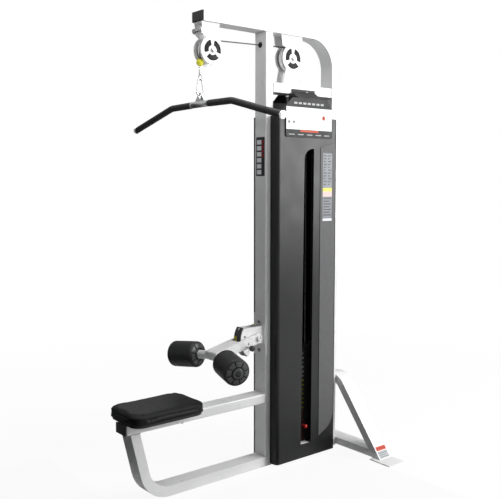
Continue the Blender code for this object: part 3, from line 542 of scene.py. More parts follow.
# ---- frame
def weld_bead(name, centre, across, up, width, height):
    """A line of weld around a rectangular tube's end."""
    across, up = Vector(across), Vector(up)
    half_w, half_h = width / 2 + 0.0005, height / 2 + 0.0005
    corners = [(-half_w, -half_h), (half_w, -half_h), (half_w, half_h), (-half_w, half_h)]
    path = []
    outline = rounded(corners, 0.005, 3)
    for i, start in enumerate(outline):
        a, b = Vector(start), Vector(outline[(i + 1) % len(outline)])
        count = max(1, int((b - a).length / 0.004))
        path += [a.lerp(b, k / count) for k in range(count)]
    points = [Vector(centre) + across * p.x + up * p.y for p in path]
    obj = cord(name, points, True, 0.0021, 2)
    for i, point in enumerate(obj.data.splines[0].points):
        point.radius = 1.0 + 0.22 * math.sin(i * 2.2)
    return add(name, evaluated(obj), [WHITE], "frame", 60)


def dress_frame():
    dress(
        WHITE, "main_upright", "roof_tube", "crossbar", "base_beam", "seat_beam", "rear_arch",
        "rear_base_tube", "front_pulley_bracket", "rear_pulley_bracket", "thigh_bracket", "thigh_arm",
    )
    upright_low, upright_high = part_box("main_upright")
    post_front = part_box("roof_tube")[1].y - (upright_high.y - upright_low.y)
    tube_w = upright_high.x - upright_low.x
    tube_d = upright_high.y - upright_low.y
    bar_z = middle("crossbar").z
    weld_bead("weld_crossbar_front", (0, upright_high.y + 0.0005, bar_z), RIGHT, UP, tube_w, tube_d)
    weld_bead("weld_crossbar_rear", (0, post_front - 0.0005, bar_z), RIGHT, UP, tube_w, tube_d)
    weld_bead("weld_seat_beam", (0, -0.0005, middle("seat_beam").z), RIGHT, UP, tube_w, tube_d)
    upright_y = (upright_low.y + upright_high.y) / 2
    for name, z in (("weld_upright_foot", upright_low.z), ("weld_upright_head", upright_high.z)):
        weld_bead(name, (0, upright_y, z), RIGHT, REAR, tube_w, tube_d)
    weld_bead("weld_post_foot", (0, post_front + tube_d / 2, upright_low.z), RIGHT, REAR, tube_w, tube_d)


# ---- pulleys and cable
def make_wheel(node, joint, body):
    """A grooved nylon wheel with ribbed faces and a steel bearing."""
    centre = pivot_of(joint)
    low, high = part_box(node)
    flange = (high.z - low.z) / 2 - 0.0002
    half = 0.011
    bed = flange - 0.0110
    bore, hub, web = 0.0068, 0.0138, 0.0040
    face = [
        (bore, hub), (0.0150, hub), (0.0160, hub - 0.0010), (0.0175, 0.0046), (0.0215, web),
        (bed - 0.0110, web), (bed - 0.0085, 0.0105), (bed - 0.0070, half), (flange - 0.0012, half),
        (flange, half - 0.0012), (flange, half - 0.0025), (bed + 0.0030, 0.0052), (bed + 0.0006, 0.0036),
    ]
    profile = mirrored(face, [(bed, 0.0)])
    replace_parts(lathe(node + "_wheel", profile, centre, RIGHT, WHEEL, body, 96), node)
    for side in (-1, 1):
        ring = [(0.0070, 0.0142), (0.0125, 0.0142), (0.0130, 0.0134), (0.0070, 0.0134)]
        lathe(f"{node}_bearing_{side + 1}", ring, centre, RIGHT * side, STEEL, body, 48)
        inlay = [(0.0068, 0.0272), (flange - 0.0080, 0.0272), (flange - 0.0070, 0.0266),
                 (flange - 0.0070, 0.0258), (0.0068, 0.0258)]
        lathe(f"{node}_inlay_{side + 1}", inlay, centre, RIGHT * side, INLAY, "frame", 64)


def make_pulleys():
    make_wheel("front_pulley", "front_pulley_spin", "front_wheel")
    make_wheel("rear_pulley", "rear_pulley_spin", "rear_wheel")
    for node, joint in (("front_axle_bolt", "front_pulley_spin"), ("rear_axle_bolt", "rear_pulley_spin")):
        dress(STEEL, node)
        centre = pivot_of(joint)
        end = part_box(node)[1].x
        for side in (-1, 1):
            socket_screw(f"{node}_cap_{side + 1}", centre + RIGHT * side * (end - 0.0004), RIGHT * side,
                         "frame", 0.0078)
    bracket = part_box("front_pulley_bracket")
    retainer = Vector((0, bracket[0].y + 0.006, bracket[1].z - 0.043))
    tube("cable_retainer", [retainer - RIGHT * 0.031, retainer + RIGHT * 0.031], 0.006, STEEL, "frame")
    for side in (-1, 1):
        bolt(f"retainer_bolt_{side + 1}", retainer + RIGHT * side * 0.0300, RIGHT * side, "frame", 0.0105)


def cable_top_points():
    """The cable's path over both wheels: a quarter round, a straight run, a quarter round."""
    front = pivot_of("front_pulley_spin")
    rear = pivot_of("rear_pulley_spin")
    low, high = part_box("cable_run_top")
    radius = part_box("front_cable_drop")[1].x
    front_groove = front.y - (low.y + radius)
    rear_groove = (high.y - radius) - rear.y
    run = rear - front
    lean = math.degrees(math.atan2(run.z, run.y) + math.acos((front_groove - rear_groove) / run.length))
    points = arc((front.y, front.z), front_groove, 180, lean, 24)
    points += arc((rear.y, rear.z), rear_groove, lean, 0, 24)
    return [(0, y, z) for y, z in points], radius


def hanging_cable(name, node, radius):
    """A straight length of cable in place of a hanging cable node."""
    low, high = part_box(node)
    top, bottom, y = high.z, low.z - 0.001, middle(node).y
    rows = 40
    points = [(0, y, top + (bottom - top) * i / rows) for i in range(rows + 1)]
    piece = tube(name, points, radius, CABLE, None, rings=3)
    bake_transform(piece)
    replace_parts(piece, node)


def make_cables():
    points, radius = cable_top_points()
    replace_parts(tube("cable_over_wheels", points, radius, CABLE, "frame", rings=4), "cable_run_top")
    hanging_cable("cable_to_bar", "front_cable_drop", radius)
    hanging_cable("cable_to_stack", "rear_cable_drop", radius)
    dress(RUBBER, "cable_grommet")


# ---- bar and its fittings
def make_stop_ball():
    centre = middle("cable_stop_ball")
    radius = (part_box("cable_stop_ball")[1] - centre).x
    profile = [(0, radius * 0.995)]
    for i in range(1, 40):
        angle = math.pi * i / 40
        seam = 0.00035 if i == 20 else 0.0
        profile.append(((radius - seam) * math.sin(angle), radius * math.cos(angle)))
    profile.append((0, -radius * 0.995))
    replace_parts(lathe("stop_ball", profile, centre, UP, YELLOW, "pull_line", 64), "cable_stop_ball")
    ferrule = [(0.0034, 0.0065), (0.0058, 0.0065), (0.0066, 0.0055), (0.0066, 0.0), (0.0034, 0.0)]
    lathe("stop_ferrule", ferrule, centre + UP * (radius - 0.0012), UP, RUBBER, "pull_line", 32)


def make_cable_eye():
    """A swaged sleeve above a wire loop."""
    low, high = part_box("cable_eye")
    y = middle("cable_eye").y
    loop_radius = 0.0125
    loop_z = low.z + loop_radius + 0.0027
    sleeve = []
    bands = 4
    start, end = loop_z + loop_radius + 0.002, high.z
    for k in range(bands):
        a = end - (end - start) * k / bands
        b = end - (end - start) * (k + 1) / bands
        sleeve += [(0.0046, a), (0.0055, a - 0.0012), (0.0055, b + 0.0012)]
    profile = [(0, end)] + sleeve + [(0.0044, start), (0, start)]
    lathe("eye_sleeve", profile, (0, y, 0), UP, STEEL, "bar", 32)
    teardrop = [(0, loop_z + loop_radius + 0.0055)] + [
        (x, z) for x, z in arc((0, loop_z), loop_radius, 52, -232, 40)
    ]
    ring = tube("eye_loop", [(x, y, z) for x, z in teardrop], 0.0025, STEEL, "bar", closed=True, rings=4)
    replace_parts(ring, "cable_eye")


def make_hook():
    """A spring hook: a bent chrome rod with a hinged gate."""
    low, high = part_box("snap_hook")
    y = middle("cable_eye").y
    wire_radius = 0.0040
    top_radius, bottom_radius = 0.0125, 0.0200
    top_z = high.z - wire_radius - top_radius
    bottom_z = low.z + wire_radius + bottom_radius
    path = arc((0, top_z), top_radius, 160, 0, 24) + arc((0, bottom_z), bottom_radius, 0, -170, 32)
    hook = tube("hook_rod", [(0, y + a, b) for a, b in path], wire_radius, CHROME, "bar", rings=5)
    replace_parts(hook, "snap_hook")
    first, last = Vector(path[0]), Vector(path[-1])
    rise = (first - last).normalized()
    ends = [last + rise * 0.0032, first - rise * 0.0030]
    gate = tube("hook_gate", [(0, y + e.x, e.y) for e in ends], 0.0034, CHROME, "gate", rings=5)
    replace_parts(gate, "snap_gate")
    hinge = Vector((0, y + last.x, last.y))
    for side in (-1, 1):
        rivet = [(0, 0.0012), (0.0016, 0.0010), (0.0022, 0.0), (0, 0.0)]
        outward = RIGHT * side
        lathe(f"gate_rivet_{side + 1}", rivet, hinge + outward * 0.0036, outward, STEEL, "bar", 24)


class BarLine:
    """Centre line of the lat bar, straight between two rounded knees and sloping down outside them."""

    def __init__(self):
        grip_low, grip_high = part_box("grip_right")
        self.y = middle("lat_bar").y
        self.level = 1.898
        self.knee = 0.251
        self.end_x, self.end_z = 0.606, 1.804
        self.rod = 0.0125
        self.grip = (grip_high.y - grip_low.y) / 2
        self.grip_start = grip_low.x
        self.half = rounded(
            [(0, self.level), (self.knee, self.level - 0.003), (self.end_x, self.end_z)], 0.12, 20, False
        )

    def between(self, start, end):
        inner = [p for p in self.half if start < p[0] < end]
        return [(start, self.height(start))] + inner + [(end, self.height(end))]

    def height(self, x):
        xs, zs = zip(*self.half)
        return float(np.interp(x, xs, zs))

    def slope(self):
        return (Vector(self.half[-1]) - Vector(self.half[-2])).normalized()


def make_bar():
    line = BarLine()
    right = line.between(0.0, line.end_x)
    left = [(-x, z) for x, z in reversed(right[1:])]
    rod = tube("bar_rod", [(x, line.y, z) for x, z in left + right], line.rod, CHROME, "bar",
               rings=7, upright=True)
    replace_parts(rod, "lat_bar")
    end_x = 0.0710
    sleeve = mirrored([(0, end_x), (0.0142, end_x), (0.0158, 0.0700), (0.0158, 0.0640), (0.0150, 0.0625),
                       (0.0150, 0.0605), (0.0158, 0.0590)])
    lathe("bar_sleeve", sleeve, (0, line.y, line.level), RIGHT, STEEL, "bar", 64)
    eye_z, boss = 1.9343, 0.0185
    outline = [(-0.050, line.level), (0.050, line.level)] + arc((0, eye_z), boss, 20, 160, 24)
    plate("bar_gusset", [outline, circle((0, eye_z), 0.0108, 40)], FRONT_VIEW, -line.y, 0.006, STEEL,
          "bar", 0.0008)
    for side, label in SIDES:
        slope = line.slope()
        out = Vector((side * slope.x, 0, slope.y))
        end = Vector((side * line.end_x, line.y, line.end_z))
        disc = [(0, 0.0058), (0.0150, 0.0058), (0.0178, 0.0046), (0.0185, 0.0030), (0.0185, -0.0030),
                (0.0175, -0.0040), (0, -0.0040)]
        lathe("bar_end_" + label, disc, end, out, SATIN, "bar", 64)
        make_grip(line, side, label)


def make_grip(line, side, label):
    """A rubber sleeve with raised collars at its ends and fine rings along it."""
    path = line.between(line.grip_start, line.end_x - 0.0055)
    points = [Vector((side * x, line.y, z)) for x, z in path]
    total = sum((b - a).length for a, b in zip(points, points[1:]))
    rows = 520
    obj = cord("grip", [points[0]] * (rows + 1), False, line.grip, 5)
    stations = [0.0]
    for a, b in zip(points, points[1:]):
        stations.append(stations[-1] + (b - a).length)
    for i, point in enumerate(obj.data.splines[0].points):
        run = total * i / rows
        place = [float(np.interp(run, stations, [p[k] for p in points])) for k in range(3)]
        point.co = (*place, 1.0)
        edge = min(run, total - run)
        ring = 0.0 if edge < 0.012 else 0.022 * (0.5 + 0.5 * math.cos(math.tau * run / 0.0042))
        lip = 0.85 + 0.15 * min(edge / 0.002, 1.0)
        point.radius = lip * (1.0 - ring)
    obj.data.twist_mode = "Z_UP"
    grip = add("rubber_grip_" + label, welded(evaluated(obj)), [RUBBER], "bar", 50)
    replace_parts(grip, "grip_" + label)


# ---- weight stack
def plate_nodes():
    """The stack's nodes from the top down; a node holds one plate or a pair."""
    names = [name for name in NODES if name.startswith("weight_plate")]
    return sorted(names, key=lambda name: name.split("_")[2])


def number_text(name, text, place, height, material, body):
    """A small number standing on a face that looks along +X."""
    data = bpy.data.curves.new(name, "FONT")
    data.body = text
    data.size = height
    data.align_x = "CENTER"
    data.align_y = "CENTER"
    data.extrude = 0.00012
    data.materials.append(material)
    obj = bpy.data.objects.new(name, data)
    bpy.context.scene.collection.objects.link(obj)
    obj.matrix_world = Matrix.Translation(place) @ SIDE_VIEW.to_4x4()
    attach(obj, body)


def make_plate_number(number, face, z, body):
    """A plate's weight in kilograms, at the edge that shows in the slot."""
    colour = PAPER if number <= 6 else SUN if number <= 13 else SIGNAL
    y = middle("head_plate").y - 0.002
    backing = [(-0.008, -0.0095, 0.020, 0.0095, INK)]
    stickers(f"plate_label_{number:02d}", (face, y, z), REAR, UP, backing, body)
    number_text(f"plate_number_{number:02d}", str(number * 5), (face + 0.0004, y + 0.006, z), 0.0150,
                colour, body)


def make_plate_seam(name, low, high, z, body):
    """The dark line where two plates of a pair meet."""
    centre = (low + high) / 2
    reach = (high - low) / 2
    line = 0.0004
    for side in (-1, 1):
        label = "rear" if side > 0 else "front"
        stickers(f"{name}_seam_x_{label}", (centre.x + side * reach.x, centre.y, z), REAR * side, UP,
                 [(-reach.y + 0.009, -line, reach.y - 0.009, line, INK)], body, 0.0001)
        stickers(f"{name}_seam_y_{label}", (centre.x, centre.y + side * reach.y, z), RIGHT * -side, UP,
                 [(-reach.x + 0.009, -line, reach.x - 0.009, line, INK)], body, 0.0001)


def make_stack():
    dress(IRON, "head_plate", *plate_nodes())
    dress(ROD, "guide_rod_front", "guide_rod_rear", "selector_stem")
    dress(RUBBER, "stack_bumper")
    for name in ["head_plate"] + plate_nodes():
        soften(NODES[name], 0.0022, 2)
    for name in plate_nodes():
        low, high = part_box(name)
        body = NODES[name]["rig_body"]
        numbers = [int(word) for word in name.split("_")[2:]]
        pitch = (high.z - low.z) / len(numbers)
        for row, number in enumerate(numbers):
            z = high.z - (row + 0.5) * pitch
            make_plate_number(number, high.x, z, body)
            if row:
                make_plate_seam(name, low, high, z + pitch / 2, body)
    head_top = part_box("head_plate")[1].z
    for side in (-1, 1):
        place = (0, middle("head_plate").y + side * 0.067, head_top)
        ring = [(0.0112, 0.006), (0.0170, 0.006), (0.0185, 0.0045), (0.0185, 0.0), (0.0112, 0.0)]
        lathe(f"head_bushing_{side + 1}", ring, place, UP, BLACK, "stack", 48)
    for label in ("front", "rear"):
        rod = middle("guide_rod_" + label)
        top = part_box("guide_rod_" + label)[1].z
        collar = [(0.0098, 0.012), (0.0150, 0.012), (0.0162, 0.0105), (0.0162, 0.0), (0.0098, 0.0)]
        lathe("rod_collar_" + label, collar, (rod.x, rod.y, top - 0.0125), UP, STEEL, "frame", 40)


def make_selector_pin():
    """A red ribbed knob on a steel pin."""
    low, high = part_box("selector_pin")
    place = Vector((0, middle("selector_pin").y, middle("selector_pin").z))
    radius = (high.z - low.z) / 2 - 0.0025
    ribs = 0.0007
    knob = [
        (0, high.x), (radius * 0.55, high.x - 0.0006), (radius * 0.80, high.x - 0.0022),
        (radius - 0.0009, high.x - 0.0050, ribs), (radius - 0.0007, high.x - 0.0120, ribs),
        (radius - 0.0009, high.x - 0.0190, ribs), (radius * 0.70, high.x - 0.0260),
        (radius * 0.62, high.x - 0.0330), (radius * 0.72, high.x - 0.0345), (0, high.x - 0.0350),
    ]
    piece = lathe("pin_knob", knob, place, RIGHT, RED, "stack_pin", 96, ripple=16)
    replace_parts(piece, "selector_pin")
    shaft = [(0, 0.056), (0.0045, 0.056), (0.0045, low.x + 0.002), (0.0028, low.x), (0, low.x)]
    lathe("pin_shaft", shaft, place, RIGHT, STEEL, "stack_pin", 32)


# ---- covers and signs
def make_covers():
    dress(COVER, "shroud_right", "shroud_left")
    dress(ACCENT, "accent_panel")
    low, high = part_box("shroud_right")
    face = high.x
    for side, label in SIDES:
        for k, z in enumerate((low.z + 0.055, (low.z + high.z) / 2, high.z - 0.055)):
            place = (side * 0.070, high.y, z)
            socket_screw(f"cover_screw_rear_{label}_{k}", place, REAR, "frame", 0.0060, BLACK)
    block("slot_sill", (0.052, 0.2055, 0.0835), (face - 0.0044, 0.2800, 0.0865), WHITE, "frame", 0.0006)
    rim_outer, rim_inner = face - 0.0043, face - 0.0200
    front_low, front_high = 0.2035, 0.2195
    bottom, top = 0.094, 1.640
    sheet = 0.0022
    bm = bmesh.new()
    corners = []
    for y, z in ((front_low, bottom), (front_high, top)):
        for x in (rim_inner, rim_outer):
            for thickness in (0.0, -sheet):
                corners.append(bm.verts.new((x, y + thickness, z)))
    a = corners[:4]
    b = corners[4:]
    order = (0, 1, 3, 2)
    bm.faces.new([a[i] for i in order])
    bm.faces.new([b[i] for i in order])
    for i in range(4):
        j = (i + 1) % 4
        bm.faces.new((a[order[i]], a[order[j]], b[order[j]], b[order[i]]))
    from_bmesh("slot_flange", bm, COVER, "frame", 30)


def make_accent_label():
    """Blocks of colour on the cover's stripe, in place of printed words."""
    low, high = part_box("accent_panel")
    face = high.x
    left = low.y + 0.017
    wide = 0.070
    shapes = [(0.0, 1.310, wide, 1.677, SLATE), (0.0, 1.470, wide, 1.489, SUN)]
    shapes += [(0.0, 1.442, wide, 1.470, BLUSH), (0.0, 1.310, wide, 1.322, PAPER)]
    for k in range(11):
        z = 1.660 - k * 0.0155
        for column in range(2):
            left_edge = 0.007 + 0.032 * column
            shapes.append((left_edge, z, left_edge + 0.024 - 0.006 * ((k + column) % 3), z + 0.007, INK))
    for k in range(7):
        z = 1.428 - k * 0.0150
        shapes.append((0.007, z, wide - 0.008 - 0.009 * (k % 2), z + 0.0075, INK))
    stickers("accent_label", (face, left, 0), REAR, UP, shapes, "frame")


def sign_shapes(width):
    """Generic picture blocks and lines for a sign's face, from its front lower corner."""
    shapes = [(0.002, 0.040, width - 0.004, 0.156, PAPER)]
    shapes.append((width * 0.30, 0.0285, width * 0.69, 0.0375, ORANGE))
    for k in range(9):
        z = 0.108 - k * 0.0070
        shapes.append((width * 0.27, z, width * (0.47 if k % 3 else 0.52), z + 0.0022, FAINT))
    for k in range(3):
        z = 0.076 - k * 0.011
        shapes.append((width * 0.54, z, width * 0.70, z + 0.0022, FAINT))
    for start in (0.06, 0.16, 0.80, 0.90):
        shapes += figure_shapes(width * start, 0.060, start < 0.5)
    shapes.append((width * 0.775, 0.098, width * 0.840, 0.116, ORANGE))
    shapes.append((width * 0.800, 0.092, width * 0.815, 0.122, ORANGE))
    for k in range(7):
        shapes.append((width * (0.17 + 0.095 * k), 0.172, width * (0.235 + 0.095 * k), 0.182, FAINT))
    for k in range(5):
        shapes.append((width * (0.06 + 0.19 * k), 0.012, width * (0.18 + 0.19 * k), 0.0165, FAINT))
    return shapes


def figure_shapes(left, bottom, seated):
    """A little machine diagram: a post, a beam and a seat block."""
    shapes = [(left, bottom, left + 0.0022, bottom + 0.075, FAINT)]
    shapes.append((left, bottom + 0.073, left + 0.020, bottom + 0.075, FAINT))
    shapes.append((left, bottom, left + 0.024, bottom + 0.0022, FAINT))
    if seated:
        shapes.append((left - 0.004, bottom + 0.012, left + 0.007, bottom + 0.024, INK))
    return shapes


def make_signs():
    dress(SIGN, "placard_right", "placard_left")
    low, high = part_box("placard_right")
    face = high.x
    width = high.y - low.y
    stickers("sign_print_right", (face, low.y, low.z), REAR, UP, sign_shapes(width), "frame")
    stickers("sign_print_left", (-face, high.y, low.z), -REAR, UP, sign_shapes(width), "frame")
    tilt = Vector((0.047, 0, 0.0605)).normalized()
    for side, label in SIDES:
        axis = Vector((side * tilt.x * 0.61, 0, 0.79 * tilt.z)).normalized()
        place = Vector((side * (high.x - 0.0485), 0.275, high.z - 0.0135))
        socket_screw("sign_screw_" + label, place, axis, "frame", 0.0052)


# ---- thigh hold-down
def make_hold_down():
    dress(GREY, "index_strip")
    low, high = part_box("thigh_bracket")
    sleeve_front = -0.0043
    for k, z in enumerate((high.z - 0.042, low.z + 0.028)):
        bolt(f"bracket_bolt_{k}", (0, sleeve_front, z), -REAR, "frame", 0.0088, True, DARK_STEEL)
    pivot = pivot_of("thigh_arm_swing")
    dress(STEEL, "pivot_bolt")
    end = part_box("pivot_bolt")[1].x
    for side in (-1, 1):
        profile = [(0, 0.0010), (0.0070, 0.0010), (0.0090, 0.0030), (0.0118, 0.0030), (0.0130, 0.0018),
                   (0.0134, 0.0), (0, 0.0)]
        lathe(f"pivot_cap_{side + 1}", profile, pivot + RIGHT * side * (end - 0.0006), RIGHT * side,
              STEEL, "arm", 48)
    strip_radius = 0.1112
    for k, degrees in enumerate((29, -47)):
        angle = math.radians(180 - degrees)
        out = Vector((0, math.cos(angle), math.sin(angle)))
        bolt(f"strip_bolt_{k}", pivot + out * strip_radius, out, "frame", 0.0075, washer=False)
    scale_angle = math.radians(181)
    out = Vector((0, math.cos(scale_angle), math.sin(scale_angle)))
    shapes = [(-0.022, -0.021, -0.002, 0.021, SUN)]
    for k in range(4):
        shapes.append((-0.018, -0.017 + k * 0.0105, -0.006, -0.0145 + k * 0.0105, INK))
    stickers("index_scale", pivot + out * strip_radius, RIGHT, out.cross(RIGHT), shapes, "frame", 0.0004)
    caution = [(0.0, -0.006, 0.014, 0.006, SIGNAL), (0.014, -0.006, 0.022, 0.006, SUN)]
    stickers("bracket_top_mark", (-0.030, -0.030, 0.7665), RIGHT, REAR, caution, "frame")
    make_pull_pin()


def make_pull_pin():
    """A spring pin with a lobed knob, in a threaded collar."""
    low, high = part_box("pull_pin")
    place = Vector((0, middle("pull_pin").y, middle("pull_pin").z))
    radius = (high.z - low.z) / 2
    lobe = 0.0016
    knob = [
        (0, high.x), (radius * 0.45, high.x), (radius * 0.72, high.x - 0.0010, lobe * 0.6),
        (radius - 0.0026, high.x - 0.0045, lobe), (radius - 0.0018, high.x - 0.0100, lobe),
        (radius - 0.0026, high.x - 0.0170, lobe), (radius * 0.62, high.x - 0.0225, lobe * 0.5),
        (radius * 0.52, high.x - 0.0265), (0, high.x - 0.0265),
    ]
    piece = lathe("pull_knob", knob, place, RIGHT, BLACK, "arm_pin", 96, ripple=7)
    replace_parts(piece, "pull_pin")
    shaft = [(0, 0.068), (0.0088, 0.068), (0.0088, 0.0580), (0.0050, 0.0575), (0.0050, low.x + 0.0012),
             (0.0038, low.x), (0, low.x)]
    lathe("pull_shaft", shaft, place, RIGHT, STEEL, "arm_pin", 32)
    pivot = pivot_of("thigh_arm_swing")
    stop = pivot + Vector((0.0445, -0.0630, -0.0180))
    bolt("arm_stop_bolt", stop, RIGHT, "arm", 0.0075, washer=False)


def petal_outline(inner, outer, start, end):
    return arc((0, 0), outer, start, end, 10) + arc((0, 0), inner, end, start, 8)


def make_roller(label):
    """A moulded foam roller; each end has a ring of raised pads around a hub."""
    joint = JOINTS[f"roller_{label}_spin"]
    origin = Vector(joint["pos_m"])
    axis = Vector(joint["axis"]).normalized()
    body = label + "_roller"
    low, high, radius = reach_along("roller_" + label, origin, axis)
    crown = 0.0125
    bore = 0.0170
    well, cone_in, cone_out = 0.0300, 0.0325, radius - crown
    drop = 0.0075
    rim = [math.radians(9 * i) for i in range(11)]
    turned = [(cone_out + crown * math.sin(a) * 0.97, drop + crown * (1 - math.cos(a))) for a in rim]
    profile = [(bore, high - 0.0060), (well, high - 0.0060), (cone_in, high - 0.0030)]
    profile += [(reach, high - fall) for reach, fall in turned]
    rows = 14
    for i in range(1, rows):
        share = i / rows
        bulge = 0.0006 * math.sin(math.pi * share)
        height = (high - drop - crown) + (low - high + 2 * crown + 2 * drop) * share
        profile.append((radius - 0.0006 + bulge, height))
    profile += [(reach, low + fall) for reach, fall in reversed(turned)]
    profile += [(cone_in, low + 0.0030), (well, low + 0.0060), (bore, low + 0.0060)]
    roller = lathe("foam_roller_" + label, profile, origin, axis, FOAM, body, 96)
    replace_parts(roller, "roller_" + label)
    pads = 8
    slope = (drop - 0.0030) / (cone_out - cone_in)
    for end_name, height, facing in (("outer", high, 1), ("inner", low, -1)):
        turn = along(axis * facing)
        for k in range(pads):
            start = 360 * k / pads + 4.0
            outline = petal_outline(cone_in + 0.0010, cone_out + 0.0010, start, start + 360 / pads - 8.0)
            name = f"roller_pad_{label}_{end_name}_{k}"
            pad = plate(name, [outline], PLAN_VIEW, 0.0, 0.0070, PETAL, None, 0.0014)
            for vertex in pad.data.vertices:
                reach = math.hypot(vertex.co.x, vertex.co.y)
                vertex.co.z -= slope * (reach - cone_in)
            pad.matrix_world = Matrix.Translation(origin + axis * (height - facing * 0.0030)) @ turn
            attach(pad, body)
        hub = [(0, 0.0066), (0.0180, 0.0064), (0.0250, 0.0056), (0.0272, 0.0040), (0.0280, -0.0058),
               (0, -0.0058)]
        if facing < 0:
            hub = [(bore, 0.0010), (0.0250, 0.0010), (0.0272, -0.0006), (0.0280, -0.0058), (bore, -0.0058)]
        place = origin + axis * height
        lathe(f"roller_hub_{label}_{end_name}", hub, place, axis * facing, PETAL, body, 64)
    button = [(0, 0.0082), (0.0120, 0.0080), (0.0150, 0.0070), (0.0155, 0.0060), (0, 0.0060)]
    cap = lathe("roller_end_cap_" + label, button, origin + axis * high, axis, BLACK, body, 48)
    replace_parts(cap, "roller_cap_" + label)


# ---- seat
def swell(obj, floor_z, limit, pressure=2.5, frames=20, held_height=0.006):
    """Blow the cushion up a little with cloth pressure, its underside held flat."""
    group = obj.vertex_groups.new(name="held")
    held = [v.index for v in obj.data.vertices if v.co.z < floor_z + held_height]
    group.add(held, 1.0, "REPLACE")
    start = np.array([v.co for v in obj.data.vertices])
    cloth = obj.modifiers.new("cloth", "CLOTH")
    cloth.settings.use_pressure = True
    cloth.settings.uniform_pressure_force = pressure
    cloth.settings.vertex_group_mass = "held"
    cloth.settings.effector_weights.gravity = 0.0
    cloth.settings.tension_stiffness = 20
    cloth.settings.quality = 5
    scene = bpy.context.scene
    for step in range(1, frames + 1):
        scene.frame_set(step)
    depsgraph = bpy.context.evaluated_depsgraph_get()
    result = obj.evaluated_get(depsgraph).to_mesh()
    end = np.array([v.co for v in result.vertices])
    obj.evaluated_get(depsgraph).to_mesh_clear()
    obj.modifiers.remove(cloth)
    scene.frame_set(1)
    move = end - start
    length = np.linalg.norm(move, axis=1, keepdims=True)
    move *= np.minimum(1.0, limit / np.maximum(length, 1e-9))
    obj.data.vertices.foreach_set("co", (start + move).ravel())


def outline_at(width, length, centre_y, radius, steps=10):
    half_w, half_l = width / 2, length / 2
    corners = [(-half_w, centre_y - half_l), (half_w, centre_y - half_l),
               (half_w, centre_y + half_l), (-half_w, centre_y + half_l)]
    return rounded(corners, radius, steps)


def piping(name, cushion, outline, z):
    """A sewn cord that follows the cushion's side at a height."""
    tree = BVHTree.FromObject(cushion, bpy.context.evaluated_depsgraph_get())
    centre = middle("seat_pad")
    points = []
    for i, place in enumerate(outline):
        a, b = Vector(place), Vector(outline[(i + 1) % len(outline)])
        count = max(1, int((b - a).length / 0.010))
        for k in range(count):
            spot = a.lerp(b, k / count)
            inward = Vector((centre.x - spot.x, centre.y - spot.y, 0)).normalized()
            hit = tree.ray_cast(Vector((spot.x, spot.y, z)) - inward * 0.05, inward)[0]
            points.append(hit - inward * -0.0004 if hit else Vector((spot.x, spot.y, z)))
    return tube(name, points, 0.0024, LEATHER, "frame", closed=True, rings=3)


def make_seat():
    low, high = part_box("seat_pad")
    centre = (low + high) / 2
    width, length = high.x - low.x, high.y - low.y
    board = outline_at(width - 0.016, length - 0.016, centre.y, 0.054)
    plate("seat_board", [board], PLAN_VIEW, low.z + 0.006, 0.0115, BLACK, "frame", 0.0015)
    shrink = 0.0015
    start_z, end_z = low.z + 0.0120, high.z - 0.0045
    outline = outline_at(width - 2 * shrink, length - 2 * shrink, centre.y, 0.060)
    middle_z, deep = (start_z + end_z) / 2, end_z - start_z
    pad = plate("cushion_block", [outline], PLAN_VIEW, middle_z, deep, LEATHER, None)
    soften(pad, 0.016, 6)
    remesh = pad.modifiers.new("even", "REMESH")
    remesh.mode = "VOXEL"
    remesh.voxel_size = 0.005
    mesh = evaluated(pad)
    pad = add("cushion_form", mesh, [LEATHER], None, 0)
    mesh.shade_smooth()
    swell(pad, start_z, 0.0040)
    for vertex in pad.data.vertices:
        share = max(0.0, (vertex.co.z - start_z) / (end_z - start_z))
        crease = noise.noise(vertex.co * 9.0)
        vertex.co.z += 0.0004 * crease * share
    smooth = pad.modifiers.new("fine", "SUBSURF")
    smooth.levels = 1
    smooth.render_levels = 1
    mesh = evaluated(pad)
    pad = add("seat_cushion", mesh, [LEATHER], "frame", 0)
    mesh.shade_smooth()
    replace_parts(pad, "seat_pad")
    whole = outline_at(width, length, centre.y, 0.062)
    piping("seat_piping_top", pad, whole, end_z - 0.0100)
    piping("seat_piping_low", pad, whole, start_z + 0.0040)
    for side in (-1, 1):
        for k in (-1, 1):
            place = (side * 0.030, centre.y + k * 0.12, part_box("seat_beam")[0].z)
            bolt(f"seat_bolt_{side + 1}_{k + 1}", place, -UP, "frame", 0.0075)


# ---- marks on the frame
def make_marks():
    """Generic badge, leg mark and end caps."""
    dress(BLACK, "boom_end_cap", "seat_beam_end_cap")
    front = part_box("main_upright")[0].y
    badge = [(-0.033, 1.552, 0.036, 1.754, INK)]
    badge += [(-0.026, 1.561 + 0.031 * k, 0.009, 1.584 + 0.031 * k, PAPER) for k in range(6)]
    badge += [(0.014, 1.650 + 0.024 * k, 0.027, 1.664 + 0.024 * k, SIGNAL) for k in range(4)]
    stickers("upright_badge", (0, front - 0.0001, 0), RIGHT, UP, badge, "frame")
    make_leg_mark()


